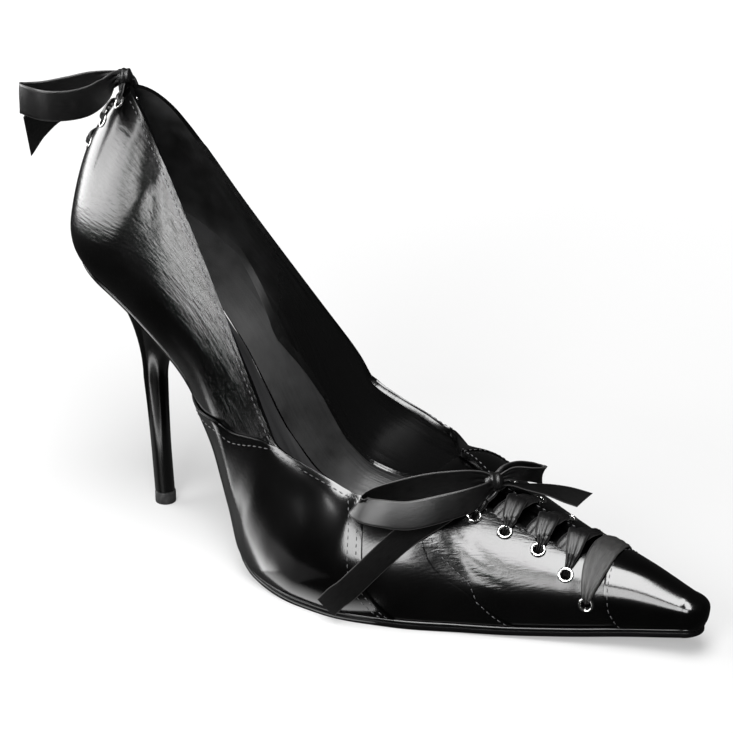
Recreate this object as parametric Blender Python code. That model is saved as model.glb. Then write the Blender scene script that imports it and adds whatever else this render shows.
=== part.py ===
"""Pointed toe pump for the right foot: stiletto heel, ribbon lacing over the tongue and up the back.

Sizes are in millimetres. x runs from the back of the heel to the toe, y across the foot with the outer side
at -y, and z up from the floor. Objects are placed in metres, with the origin under the forefoot tread.
"""

import math
from collections import namedtuple

import bmesh
import bpy
from mathutils import Vector

MM = 0.001

# Main sizes
SHOE_LENGTH = 250.0
TREAD_X = 140.0
HEEL_X = 28.0
TOE_X = 244.0
WALL = 1.6
GAP = 0.3
INSOLE_THICK = 2.4
TONGUE_THICK = 1.2
TONGUE_DROP = 0.6
PANEL_THICK = 0.8
PANEL_LIFT = 0.5

# One row for each rib of the last, from the sole's edge up to the topline or, on the vamp, to the crown:
# half widths at the sole and at the widest line on the outer (l) and inner (m) side, height of the widest line
# over the sole, how upright the wall stays above it, the rib's forward travel, its top, and the half widths
# at which the collar or the lace slit cuts it.
Rib = namedtuple("Rib", "x sole_l sole_m wide_l wide_m belly upright travel top_half top_z cut_l cut_m")
RIBS = (
    Rib(28.0, 19.2, 19.4, 25.8, 25.8, 15.0, 0.50, 23.5, 12.0, 132.5, 12.0, 12.0),
    Rib(45.0, 19.0, 19.2, 27.6, 27.0, 16.0, 0.50, 21.0, 16.5, 111.5, 16.5, 16.5),
    Rib(62.0, 17.5, 17.0, 28.4, 28.0, 16.0, 0.50, 20.0, 22.5, 88.5, 22.5, 22.5),
    Rib(74.0, 18.5, 17.0, 28.6, 30.0, 15.0, 0.55, 19.0, 27.0, 72.5, 27.0, 27.0),
    Rib(85.0, 25.0, 20.5, 31.6, 33.5, 13.0, 0.60, 16.5, 30.2, 60.0, 30.2, 30.2),
    Rib(94.0, 33.0, 25.5, 35.4, 36.5, 12.0, 0.65, 13.3, 31.0, 51.3, 31.0, 31.0),
    Rib(107.0, 37.4, 31.0, 39.4, 39.5, 11.0, 0.60, 10.5, 30.5, 47.2, 30.5, 30.5),
    Rib(120.0, 40.2, 35.0, 42.2, 40.5, 11.0, 0.60, 7.7, 30.2, 44.0, 30.2, 30.2),
    Rib(133.0, 41.0, 37.5, 43.0, 41.0, 11.0, 0.60, 5.0, 29.2, 41.0, 29.2, 29.2),
    Rib(154.0, 36.6, 37.2, 38.8, 39.6, 10.0, 1.00, 3.0, 0.0, 46.0, 10.5, 7.0),
    Rib(176.0, 27.8, 29.5, 30.0, 31.8, 9.0, 1.00, 0.0, 0.0, 38.5, 8.6, 2.6),
    Rib(203.0, 17.7, 18.2, 19.7, 20.2, 8.0, 1.00, 0.0, 0.0, 31.4, 7.6, 2.0),
    Rib(209.0, 15.5, 15.8, 17.5, 17.8, 7.6, 1.00, 0.0, 0.0, 30.0, 6.5, 1.6),
    Rib(212.0, 14.4, 14.7, 16.3, 16.6, 7.4, 1.00, 0.0, 0.0, 29.3, 0.0, 0.0),
    Rib(228.0, 8.8, 9.0, 10.4, 10.6, 6.5, 1.00, 0.0, 0.0, 25.8, 0.0, 0.0),
    Rib(244.0, 4.7, 4.7, 5.6, 5.6, 5.0, 1.00, 0.0, 0.0, 20.5, 0.0, 0.0),
)
BACK_SOLE, BACK_WIDE, BACK_TOP = 18.2, 21.0, 19.5
BACK_BELLY, BACK_TOP_Z = 10.0, 154.0
BACK_TRAVEL, BACK_LEAN, BACK_PINCH = 21.5, 3, 0.3
TOE_SOLE, TOE_WIDE = 4.8, 5.9
TOE_RIDGE_DROP = 0.45
ROUND = math.sqrt(0.5)
TUCK = math.radians(60.0)

# Underside of the sole along the foot: seat, arch, flat tread and toe spring.
Sole = namedtuple("Sole", "x under thick spread")
SOLE = (
    Sole(0.0, 97.0, 1.8, 0.0),
    Sole(8.0, 95.2, 1.8, 0.0),
    Sole(17.0, 91.8, 1.8, 0.0),
    Sole(28.0, 86.0, 1.8, 0.0),
    Sole(40.0, 78.0, 1.8, 0.0),
    Sole(50.0, 69.8, 1.8, 0.0),
    Sole(60.0, 59.0, 1.8, 0.0),
    Sole(70.0, 42.5, 1.9, 0.0),
    Sole(80.0, 24.0, 2.2, 0.1),
    Sole(90.0, 9.6, 2.6, 0.4),
    Sole(100.0, 2.6, 3.0, 0.8),
    Sole(112.0, 0.3, 3.3, 1.0),
    Sole(122.0, 0.0, 3.4, 1.0),
    Sole(160.0, 0.0, 3.4, 1.0),
    Sole(185.0, 0.6, 3.4, 1.0),
    Sole(205.0, 2.2, 3.4, 1.0),
    Sole(225.0, 4.6, 3.4, 1.0),
    Sole(240.0, 6.8, 3.4, 1.0),
    Sole(252.0, 8.8, 3.4, 1.0),
)

# Edge of a slab from its top to its underside: how far in from the outline, and the share of its thickness.
Edge = namedtuple("Edge", "inset share")
OUTSOLE_EDGE = (
    Edge(0.5, 1.0),
    Edge(0.0, 0.84),
    Edge(0.1, 0.66),
    Edge(0.5, 0.58),
    Edge(0.3, 0.46),
    Edge(0.3, 0.14),
    Edge(0.8, 0.0),
)
INSOLE_EDGE = (Edge(1.4, 1.0), Edge(0.2, 0.6), Edge(0.0, 0.0))

# Heel shaft from the top lift to where it flares into the seat.
Shaft = namedtuple("Shaft", "z x half_long half_wide")
SHAFT = (
    Shaft(4.8, 38.2, 3.5, 3.5),
    Shaft(20.0, 37.3, 3.5, 3.6),
    Shaft(35.0, 36.5, 3.8, 3.9),
    Shaft(48.0, 35.8, 4.3, 4.4),
)
SEAT_MID, SEAT_LONG, SEAT_WIDE, SEAT_GAP = 33.0, 23.0, 17.0, 0.45
LIFT_HIGH, LIFT_RADIUS, LIFT_X = 4.5, 3.7, 38.4

# Seams on the ribs: the wing panel's back edge and front seam, and the toe cap's seam.
WING_SOLE_BACK, WING_TOP_BACK, WING_SWEEP = 63.4, 94.0, 0.33
WING_SOLE_FRONT, WING_TOP_FRONT, FRONT_BOW = 156.0, 129.0, 0.55
CAP_SOLE, CAP_TOP = 224.0, 217.0

# Eyelets beside the lace slit and beside the back slit: station and v on the outer and inner side.
Eyelets = namedtuple("Eyelets", "s_l v_l s_m v_m")
FRONT_EYELETS = (
    Eyelets(173.0, 0.675, 173.0, 0.80),
    Eyelets(184.0, 0.65, 184.0, 0.78),
    Eyelets(196.0, 0.60, 196.0, 0.75),
    Eyelets(207.0, 0.425, 207.0, 0.58),
    Eyelets(215.0, 0.08, 214.0, 0.22),
)
BACK_EYELETS = (
    Eyelets(5.2, 0.88, 5.2, 0.88),
    Eyelets(5.2, 0.71, 5.2, 0.71),
    Eyelets(5.2, 0.54, 5.2, 0.54),
)
Ring = namedtuple("Ring", "radius high")
EYELET = (Ring(1.5, 0.3), Ring(2.7, 0.3), Ring(2.4, 0.9), Ring(1.65, 0.9))

# Ribbon: drawn narrow where it passes an eyelet, wider between them, and lying on the upper.
RIBBON_THICK = 0.7
LACE_END, LACE_MID, BAR_MID = 2.4, 5.4, 9.0
LACE_LIFT, LACE_STEP = 1.35, 0.25
FRONT_LACE_TOP = (172.0, 0.15)
BACK_LACE_TOP = (1.6, 0.92)

# Knots of the two bows: middle and half sizes.
Knot = namedtuple("Knot", "x y z half_x half_y half_z")
FRONT_KNOT = Knot(173.6, -4.0, 44.5, 3.6, 4.2, 3.5)
BACK_KNOT = Knot(26.3, 0.4, 156.4, 2.6, 3.4, 3.0)

# Routes of the bows' ribbon: its middle, its width there, and the angle by which its face leans up from level.
Route = namedtuple("Route", "x y z wide lean")
FRONT_LOOP_NEAR = (
    Route(172.2, -8.5, 46.9, 5.2, 0),
    Route(168.8, -14.0, 47.6, 7.8, 0),
    Route(160.6, -22.0, 47.0, 9.3, 0),
    Route(152.6, -29.0, 45.6, 9.5, 0),
    Route(146.0, -35.0, 44.6, 9.5, 0),
    Route(143.6, -38.6, 43.0, 9.5, 0),
    Route(146.8, -40.2, 42.4, 9.3, 0),
    Route(152.6, -38.6, 42.0, 9.3, 0),
    Route(159.7, -34.0, 41.2, 9.3, 0),
    Route(167.7, -27.0, 42.8, 9.0, 0),
    Route(174.3, -18.0, 44.2, 8.0, 0),
    Route(175.2, -8.7, 44.7, 5.0, 0),
)
FRONT_LOOP_FAR = (
    Route(174.8, 1.0, 46.0, 5.0, 0),
    Route(175.8, 6.0, 45.2, 6.4, -10),
    Route(176.8, 11.5, 43.0, 7.0, -20),
    Route(177.6, 15.8, 41.0, 7.0, -25),
    Route(179.0, 18.2, 39.9, 6.6, -12),
    Route(180.8, 17.6, 39.8, 6.6, 10),
    Route(181.8, 14.2, 41.4, 6.4, 25),
    Route(180.6, 8.2, 43.8, 5.8, 20),
    Route(177.2, 2.2, 45.6, 4.6, 0),
)
FRONT_END_NEAR = (
    Route(172.5, -10.8, 42.1, 3.2, 119),
    Route(169.8, -15.6, 40.6, 5.6, 126),
    Route(166.2, -20.5, 39.0, 7.6, 130),
    Route(162.6, -26.7, 36.6, 8.0, 136),
    Route(159.2, -31.1, 34.0, 8.0, 141),
    Route(155.8, -35.2, 30.4, 8.0, 147),
    Route(151.8, -39.3, 25.4, 8.0, 157),
    Route(147.2, -42.8, 19.5, 8.0, 169),
    Route(142.8, -44.6, 14.1, 8.0, 180),
    Route(139.0, -45.1, 10.4, 8.0, 180),
    Route(135.1, -45.0, 5.6, 8.0, 180),
)
FRONT_END_FAR = (
    Route(176.2, 1.4, 42.2, 3.0, 90),
    Route(180.4, 6.2, 40.0, 4.5, 85),
    Route(186.0, 11.2, 38.2, 6.0, 75),
    Route(191.4, 14.4, 36.6, 7.0, 66),
    Route(197.2, 16.4, 35.2, 7.0, 62),
)
BACK_LOOP_NEAR = (
    Route(23.3, -2.2, 156.2, 5.0, 0),
    Route(18.6, -7.0, 154.4, 9.0, 0),
    Route(13.2, -13.0, 152.6, 10.5, 0),
    Route(7.8, -20.0, 151.9, 10.5, 0),
    Route(4.2, -25.4, 152.3, 10.5, 0),
    Route(4.6, -28.4, 152.9, 10.5, 0),
    Route(9.4, -30.0, 153.0, 10.5, 0),
    Route(15.0, -28.6, 152.2, 10.5, 0),
    Route(19.8, -22.8, 151.4, 10.5, 0),
    Route(23.0, -15.6, 151.6, 10.5, 0),
    Route(24.4, -9.0, 153.5, 9.2, 0),
    Route(25.2, -3.8, 156.6, 4.8, 0),
)
BACK_LOOP_FAR = (
    Route(23.6, 4.4, 155.0, 4.6, 0),
    Route(18.8, 9.5, 150.0, 8.0, 0),
    Route(13.6, 14.5, 143.0, 9.0, 0),
    Route(12.0, 17.5, 136.5, 9.0, 0),
    Route(14.4, 20.5, 134.8, 9.0, 0),
    Route(17.4, 20.0, 138.5, 9.0, 0),
    Route(20.4, 14.6, 146.0, 8.0, 0),
    Route(24.6, 6.8, 152.8, 4.6, 0),
)
BACK_END = (
    Route(21.4, -3.0, 152.4, 3.2, 0),
    Route(17.0, -5.2, 149.0, 6.0, 0),
    Route(11.8, -8.8, 147.0, 9.4, 0),
    Route(5.9, -12.8, 144.8, 10.0, 0),
    Route(1.6, -16.0, 140.2, 10.0, 0),
    Route(-1.4, -18.5, 135.2, 10.0, 0),
)


def blend(start, end, share):
    """Value part of the way from start to end."""
    return start + (end - start) * share


def smooth(table, name, x):
    """Value of a table's column at x, on a smooth curve that doesn't swing past its rows."""
    if x <= table[0].x:
        return getattr(table[0], name)
    if x >= table[-1].x:
        return getattr(table[-1], name)
    values = [getattr(row, name) for row in table]
    rises = [(values[i + 1] - values[i]) / (table[i + 1].x - table[i].x) for i in range(len(table) - 1)]
    at = max(i for i in range(len(table) - 1) if table[i].x <= x)

    def slope(i):
        before = rises[max(i - 1, 0)]
        after = rises[min(i, len(rises) - 1)]
        return 0.0 if before * after <= 0 else 2 * before * after / (before + after)

    span = table[at + 1].x - table[at].x
    t = (x - table[at].x) / span
    start = (1 + 2 * t) * values[at] + t * span * slope(at)
    end = (3 - 2 * t) * values[at + 1] + (t - 1) * span * slope(at + 1)
    return (1 - t) ** 2 * start + t * t * end


def steepness(x):
    """Vertical length of one millimetre measured square to the sole at x."""
    rise = (smooth(SOLE, "under", x + 1) - smooth(SOLE, "under", x - 1)) / 2
    return math.sqrt(1 + rise * rise)


def above_sole(x, height):
    """Height over the floor of a layer that lies this far above the underside of the sole."""
    return smooth(SOLE, "under", x) + height * steepness(x)


def feather(x):
    """Height of the sole's upper edge, where the upper meets it."""
    return above_sole(x, smooth(SOLE, "thick", x))


def place(s):
    """Spine position and turn of station s: a fan round the heel, straight along, a fan round the toe."""
    if s < HEEL_X:
        return HEEL_X, 90 * (s / HEEL_X - 1)
    if s > TOE_X:
        return TOE_X, 90 * (s - TOE_X) / (SHOE_LENGTH - TOE_X)
    return s, 0.0


def round_to(side_size, end_size, turn):
    """Radius at a turn between a size at the side and a size at the end of the shoe."""
    c = math.cos(math.radians(turn)) / side_size
    q = math.sin(math.radians(turn)) / end_size
    return 1 / math.sqrt(c * c + q * q)


def rib_at(side, s):
    """Sizes of the rib at station s on a side of the foot, -1 outer and 1 inner."""
    x, turn = place(s)
    letter = "l" if side < 0 else "m"
    sole = smooth(RIBS, "sole_" + letter, x)
    wide = smooth(RIBS, "wide_" + letter, x)
    rib = {name: smooth(RIBS, name, x) for name in ("belly", "upright", "travel", "top_half", "top_z")}
    rib["cut"] = smooth(RIBS, "cut_" + letter, x)
    rib["lean"] = rib["pinch"] = 0.0
    if turn < 0:
        share = abs(math.sin(math.radians(turn))) ** 1.15
        sole = round_to(sole, BACK_SOLE, turn)
        wide = round_to(wide, BACK_WIDE, turn)
        rib["top_half"] = round_to(rib["top_half"], BACK_TOP, turn)
        rib["cut"] = rib["top_half"]
        rib["belly"] += (BACK_BELLY - rib["belly"]) * share
        rib["top_z"] += (BACK_TOP_Z - rib["top_z"]) * share
        rib["travel"] += (BACK_TRAVEL - rib["travel"]) * share
        rib["lean"] = share
        rib["pinch"] = BACK_PINCH * abs(math.sin(math.radians(turn)))
    if turn > 0:
        sole = round_to(sole, TOE_SOLE, turn)
        wide = round_to(wide, TOE_WIDE, turn)
    rib.update(x=x, turn=turn, sole=sole, wide=wide)
    return rib


def conic(v, first, middle, last):
    """Point of a round corner from first to last that leans towards middle."""
    a, b, c = (1 - v) ** 2, 2 * v * (1 - v) * ROUND, v * v
    return (a * first + b * middle + c * last) / (a + b + c)


def skin_point(side, s, v):
    """Point of the upper's outside: v is -1 at the sole's edge, 0 at the widest line and 1 at the rib's top."""
    rib = rib_at(side, s)
    c = math.cos(math.radians(rib["turn"]))
    q = math.sin(math.radians(rib["turn"]))
    low = feather(rib["x"] + rib["sole"] * q) + GAP
    widest = low + rib["belly"]
    if v < 0:
        tuck = (1 - math.cos(v * TUCK)) / (1 - math.cos(TUCK))
        out = blend(rib["wide"], rib["sole"], tuck)
        z = low + rib["belly"] * (1 + math.sin(v * TUCK) / math.sin(TUCK))
    else:
        out = conic(v, rib["wide"], rib["wide"], rib["top_half"])
        z = conic(v, widest, widest + rib["upright"] * (rib["top_z"] - widest), rib["top_z"])
    if rib["turn"] > 0 and v > 0:
        z -= TOE_RIDGE_DROP * out * q * (1 - out / rib["wide"])
    climb = (z - low) / (rib["top_z"] - low)
    forward = rib["travel"] * blend(climb, climb ** BACK_LEAN, rib["lean"])
    aside = out * c * (1 - rib["pinch"] * climb)
    return Vector((rib["x"] + out * q + forward, side * aside, z))


def v_at(side, s, half):
    """v at which the rib has come in to this half width."""
    rib = rib_at(side, s)
    if half <= rib["top_half"]:
        return 1.0
    low, high = 0.0, 1.0
    for _ in range(30):
        v = (low + high) / 2
        if conic(v, rib["wide"], rib["wide"], rib["top_half"]) > half:
            low = v
        else:
            high = v
    return (low + high) / 2


def v_top(side, s):
    """v at which the collar or the lace slit cuts the rib."""
    return v_at(side, s, rib_at(side, s)["cut"])


def skin(side, s, v, lift=0.0):
    """Point at a distance outside the upper's outer surface."""
    point = skin_point(side, s, v)
    if not lift:
        return point
    step = 0.01
    back, front = max(s - 1, 0.0), min(s + 1, SHOE_LENGTH)
    up = min(v + step, 1.0 - step)
    down = max(up - 2 * step, -1.0)
    along = skin_point(side, front, min(v, up)) - skin_point(side, back, min(v, up))
    rise = skin_point(side, s, up) - skin_point(side, s, down)
    out = rise.cross(along) * side
    if abs(point.y) < step:
        out.y = 0.0
    return point + out.normalized() * lift


def to_scene(point):
    """Scene position of a point in millimetres."""
    return Vector((point[0] - TREAD_X, point[1], point[2])) * MM


def material(name, colour, roughness, metallic=0.0):
    """Principled material of a piece."""
    made = bpy.data.materials.new(name)
    made.use_nodes = True
    shader = made.node_tree.nodes["Principled BSDF"]
    shader.inputs["Base Color"].default_value = (*colour, 1.0)
    shader.inputs["Roughness"].default_value = roughness
    shader.inputs["Metallic"].default_value = metallic
    return made


def mapped(name, finish, columns, rows, point_of, skip=None, capped=False):
    """Object from a grid of columns by rows whose corner (i, j) goes to point_of(i, j), with corners that meet joined."""
    shape = bmesh.new()
    bmesh.ops.create_grid(shape, x_segments=columns, y_segments=rows, size=1.0)
    cells = {}
    for face in shape.faces:
        centre = face.calc_center_median()
        cells[face] = (int((centre.x + 1) / 2 * columns), int((centre.y + 1) / 2 * rows))
    if skip:
        unwanted = [face for face, (i, j) in cells.items() if skip(i, j)]
        bmesh.ops.delete(shape, geom=unwanted, context="FACES")
    for corner in shape.verts:
        i = round((corner.co.x + 1) / 2 * columns)
        j = round((corner.co.y + 1) / 2 * rows)
        corner.co = to_scene(point_of(i, j))
    bmesh.ops.remove_doubles(shape, verts=shape.verts, dist=0.02 * MM)
    if capped:
        bmesh.ops.holes_fill(shape, edges=[edge for edge in shape.edges if edge.is_boundary], sides=0)
    bmesh.ops.recalc_face_normals(shape, faces=shape.faces)
    mesh = bpy.data.meshes.new(name)
    shape.to_mesh(mesh)
    shape.free()
    mesh.materials.append(finish)
    piece = bpy.data.objects.new(name, mesh)
    bpy.context.scene.collection.objects.link(piece)
    return piece


def thicken(piece, thick, inward):
    """Gives a surface its thickness, inwards or outwards."""
    wall = piece.modifiers.new("wall", "SOLIDIFY")
    wall.thickness = thick * MM
    wall.offset = -1.0 if inward else 1.0
    wall.use_even_offset = True
    wall.use_quality_normals = True
    return piece


def face_out(piece, outside):
    """Turns an open surface so that its faces look towards a point in millimetres that is outside it."""
    mesh = piece.data
    nearest = min(mesh.polygons, key=lambda face: (face.center - to_scene(outside)).length)
    if nearest.normal.dot(to_scene(outside) - nearest.center) < 0:
        mesh.flip_normals()
    return piece


BACK_TURNS = (0.0, 1.9, 6.5, 12.0, 17.5, 23.0, 28.0)
SPINE = (36, 45, 54, 62, 68, 74, 80, 85, 90, 94, 100, 107, 114, 120, 127, 133, 140, 147, 154, 161, 168, 176, 185, 194,
         203, 209, 212, 220, 228, 237, 244)
TOE_TURNS = (245.5, 247.0, 248.5, 250.0)
HALF_LOOP = BACK_TURNS + SPINE + TOE_TURNS
LOOP = [(-1, s) for s in HALF_LOOP] + [(1, s) for s in reversed(HALF_LOOP[:-1])]
WALL_ROWS = (-1.0, -0.5, 0.0, 0.14, 0.28, 0.42, 0.56, 0.7, 0.85, 1.0)
SLIT_ROW = 5


def build_upper(leather):
    """Hollow upper with its collar, lace slit and back slit."""

    def corner(i, j):
        side, s = LOOP[i]
        row = WALL_ROWS[j]
        return skin(side, s, row if row <= 0 else row * v_top(side, s))

    def back_slit(i, j):
        return j >= SLIT_ROW and (i == 0 or i == len(LOOP) - 2)

    piece = mapped("upper", leather, len(LOOP) - 1, len(WALL_ROWS) - 1, corner, back_slit)
    return thicken(face_out(piece, (120.0, -200.0, 30.0)), WALL, True)


def build_slab(name, finish, edge, inset, low, high):
    """Solid layer on the sole: its edge rows, its inset from the upper's edge, and its heights over the sole's underside."""
    rows = len(edge) + 3
    shares = (0.0, 0.5) + (1.0,) * len(edge) + (0.5, 0.0)

    def corner(i, j):
        side, s = LOOP[i]
        rib = rib_at(side, s)
        q = math.sin(math.radians(rib["turn"]))
        c = math.cos(math.radians(rib["turn"]))
        step = edge[min(max(j - 2, 0), len(edge) - 1)]
        out = shares[j] * (rib["sole"] - inset(rib["x"]) - step.inset)
        x = rib["x"] + out * q
        return x, side * out * c, above_sole(x, blend(low(x), high(x), step.share))

    return mapped(name, finish, len(LOOP) - 1, rows, corner)


def build_tongue(leather):
    """Tongue under the lace slit, from the throat to the toe cap."""
    back, front, half = 148.5, 212.0, 15.0
    columns, rows = 12, 8

    def corner(i, j):
        s = blend(back, front, i / columns)
        y = blend(-half, half, j / rows) * smooth(RIBS, "wide_l", s) / 39.4
        side = -1 if y <= 0 else 1
        return skin(side, s, min(v_at(side, s, abs(y)), 0.999), -WALL - TONGUE_DROP)

    piece = mapped("tongue", leather, columns, rows, corner)
    return thicken(face_out(piece, (180.0, 0.0, 200.0)), TONGUE_THICK, True)


def build_panel(name, side, leather):
    """Wing-shaped side panel from the waist to the seam behind the eyelets, lying on the upper."""
    columns, rows = 16, 8

    def corner(i, j):
        share = j / rows
        start = blend(WING_SOLE_BACK, WING_TOP_BACK, blend(share, share ** 4, WING_SWEEP))
        end = blend(WING_TOP_FRONT, WING_SOLE_FRONT, (1 - share) ** FRONT_BOW)
        s = blend(start, end, i / columns)
        return skin(side, s, blend(-0.85, v_top(side, s), share), PANEL_LIFT)

    piece = mapped(name, leather, columns, rows, corner)
    return thicken(face_out(piece, (110.0, side * 300.0, 20.0)), PANEL_THICK, False)


def build_toe_cap(leather):
    """Cap over the toe, in front of the lace slit."""
    ahead = [s for s in HALF_LOOP if s >= 228]
    half = (CAP_TOP,) + tuple(ahead)
    loop = [(-1, s) for s in half] + [(1, s) for s in reversed(half[:-1])]
    rows = (-0.85, -0.4, 0.0, 0.25, 0.5, 0.75, 1.0)

    def corner(i, j):
        side, s = loop[i]
        if s == CAP_TOP:
            s = blend(CAP_SOLE, CAP_TOP, j / (len(rows) - 1))
        return skin(side, s, rows[j], PANEL_LIFT)

    piece = mapped("toe_cap", leather, len(loop) - 1, len(rows) - 1, corner)
    return thicken(face_out(piece, (400.0, 0.0, 15.0)), PANEL_THICK, False)


def build_heel(covering):
    """Stiletto heel: a slim shaft that flares into the seat under the sole."""
    around, flare = 20, 5
    rows = len(SHAFT) + flare + 1

    def corner(i, j):
        angle = 2 * math.pi * i / around
        c, q = math.cos(angle), math.sin(angle)
        if j == 0:
            return SHAFT[0].x, 0.0, SHAFT[0].z
        if j <= len(SHAFT):
            row = SHAFT[j - 1]
            return row.x + row.half_long * c, row.half_wide * q, row.z
        top = Vector((SEAT_MID + SEAT_LONG * c, SEAT_WIDE * q, 0.0))
        top.z = above_sole(top.x, -SEAT_GAP)
        if j == rows:
            return top.x, 0.0, top.z
        row = SHAFT[-1]
        neck = Vector((row.x + row.half_long * c, row.half_wide * q, row.z))
        under = Vector((blend(top.x, neck.x, 0.55), blend(top.y, neck.y, 0.55), 0.0))
        under.z = above_sole(under.x, -3.0)
        rise = neck + Vector((0.0, 0.0, 0.5 * (under.z - neck.z)))
        t = (j - len(SHAFT)) / flare
        return (1 - t) ** 3 * neck + 3 * t * (1 - t) ** 2 * rise + 3 * t * t * (1 - t) * under + t ** 3 * top

    return mapped("heel", covering, around, rows, corner)


def build_top_lift(rubber):
    """Wearing tip under the heel's shaft."""
    around = 16
    profile = ((0.0, LIFT_HIGH), (LIFT_RADIUS - 0.3, LIFT_HIGH), (LIFT_RADIUS, LIFT_HIGH - 0.4), (LIFT_RADIUS, 0.0), (0.0, 0.0))

    def corner(i, j):
        angle = 2 * math.pi * i / around
        radius, z = profile[j]
        return LIFT_X + radius * math.cos(angle), radius * math.sin(angle), z

    return mapped("heel_top_lift", rubber, around, len(profile) - 1, corner)


def build_eyelet(name, metal, side, s, v):
    """Metal ring on the upper round an eyelet's hole."""
    around = 8
    middle = skin(side, s, v)
    out = (skin(side, s, v, 1.0) - middle).normalized()
    across = out.cross(skin(side, s + 1, v) - middle).normalized()
    along = across.cross(out)

    def corner(i, j):
        angle = 2 * math.pi * i / around
        ring = EYELET[j % len(EYELET)]
        turn = along * math.cos(angle) + across * math.sin(angle)
        return middle + turn * ring.radius + out * ring.high

    return mapped(name, metal, around, len(EYELET), corner)


def build_eyelets(name, metal, pairs):
    """All eyelets of a slit, numbered from its top."""
    for number, pair in enumerate(pairs, start=1):
        build_eyelet(f"{name}_lateral_{number}", metal, -1, pair.s_l, pair.v_l)
        build_eyelet(f"{name}_medial_{number}", metal, 1, pair.s_m, pair.v_m)


def over_front(s, w, high):
    """Point over the vamp: w counts v from the crown, below zero on the outer side."""
    return skin(-1 if w < 0 else 1, s, 1 - abs(w), high)


def over_back(w, v, high):
    """Point over the back of the quarters: w counts stations from the back seam, below zero on the outer side."""
    return skin(-1 if w < 0 else 1, abs(w), v, high)


def build_strip(name, satin, over, start, end, lift, middle_wide):
    """Strip of ribbon on the upper from one place to another, drawn together at its ends."""
    steps = 6

    def at(i, high):
        return over(blend(start[0], end[0], i / steps), blend(start[1], end[1], i / steps), high)

    def corner(i, j):
        half = blend(LACE_END, middle_wide, math.sin(math.pi * i / steps)) / 2
        run = at(min(i + 1, steps), lift) - at(max(i - 1, 0), lift)
        across = run.cross(at(i, lift) - at(i, 0.0)).normalized()
        high = lift + (RIBBON_THICK if j in (1, 2) else 0.0)
        return at(i, high) + across * (half if j in (0, 1, 4) else -half)

    return mapped(name, satin, steps, 4, corner, capped=True)


def join_strips(name, strips):
    """One solid from strips of ribbon that pass over each other."""
    others = bpy.data.collections.new(name + "_strips")
    bpy.context.scene.collection.children.link(others)
    for strip in strips[1:]:
        bpy.context.scene.collection.objects.unlink(strip)
        others.objects.link(strip)
        strip.hide_render = True
        strip.display_type = "WIRE"
    strips[0].name = name
    joined = strips[0].modifiers.new("joined", "BOOLEAN")
    joined.operation = "UNION"
    joined.solver = "EXACT"
    joined.operand_type = "COLLECTION"
    joined.collection = others
    return strips[0]


def build_crossings(name, satin, over, outer, inner, top):
    """Ribbon that zigzags between two rows of eyelets, with a bar at the lowest pair and two strips to the knot."""
    strips = []

    def add(start, end, lift, wide=LACE_MID):
        strips.append(build_strip(f"{name}_strip_{len(strips)}", satin, over, start, end, lift, wide))

    for k in range(len(outer) - 1):
        add(outer[k], inner[k + 1], LACE_LIFT)
        add(inner[k], outer[k + 1], LACE_LIFT + LACE_STEP)
    add(outer[-1], inner[-1], LACE_LIFT + 1.5 * LACE_STEP, BAR_MID)
    add(outer[0], top[0], LACE_LIFT + LACE_STEP / 3)
    add(inner[0], top[1], LACE_LIFT + LACE_STEP / 3)
    return join_strips(name, strips)


def build_knot(name, satin, knot):
    """Rounded knot of a bow."""
    around, rows = 12, 6

    def corner(i, j):
        turn = 2 * math.pi * i / around
        tilt = math.pi * (j / rows - 0.5)
        level = math.cos(tilt)
        return (knot.x + knot.half_x * level * math.cos(turn), knot.y + knot.half_y * level * math.sin(turn),
                knot.z + knot.half_z * math.sin(tilt))

    return mapped(name, satin, around, rows, corner)


def along_route(route, steps):
    """Rows read at even steps from a smooth curve through a route's rows."""
    rows = []
    last = len(route) - 1
    for step in range(steps + 1):
        at = min(last * step // steps, last - 1)
        t = last * step / steps - at
        before, start, end, after = (Vector(route[min(max(at + k, 0), last)]) for k in (-1, 0, 1, 2))
        straight = start * (1 + 2 * t) * (1 - t) ** 2 + end * t * t * (3 - 2 * t)
        bend = (end - before) * t * (1 - t) ** 2 / 2 + (after - start) * t * t * (t - 1) / 2
        rows.append(Route(*(straight + bend)))
    return rows


def build_ribbon(name, satin, route, steps, slant=0.0):
    """Flat ribbon along a route, its end cut at a slant: how much longer its lower edge is."""
    rows = along_route(route, steps)
    middles = [Vector((row.x, row.y, row.z)) for row in rows]

    def corner(i, j):
        run = (middles[min(i + 1, steps)] - middles[max(i - 1, 0)]).normalized()
        lean = math.radians(rows[i].lean)
        face = Vector((run.y, -run.x, 0.0)).normalized() * math.cos(lean) + Vector((0.0, 0.0, math.sin(lean)))
        across = run.cross(face).normalized()
        half = rows[i].wide / 2 if j in (0, 1, 4) else -rows[i].wide / 2
        high = RIBBON_THICK / 2 if j in (1, 2) else -RIBBON_THICK / 2
        further = math.copysign(slant / 2, half) * (i / steps) ** 4
        return middles[i] + across * half + across.cross(run) * high + run * further

    return mapped(name, satin, steps, 4, corner, capped=True)


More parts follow.
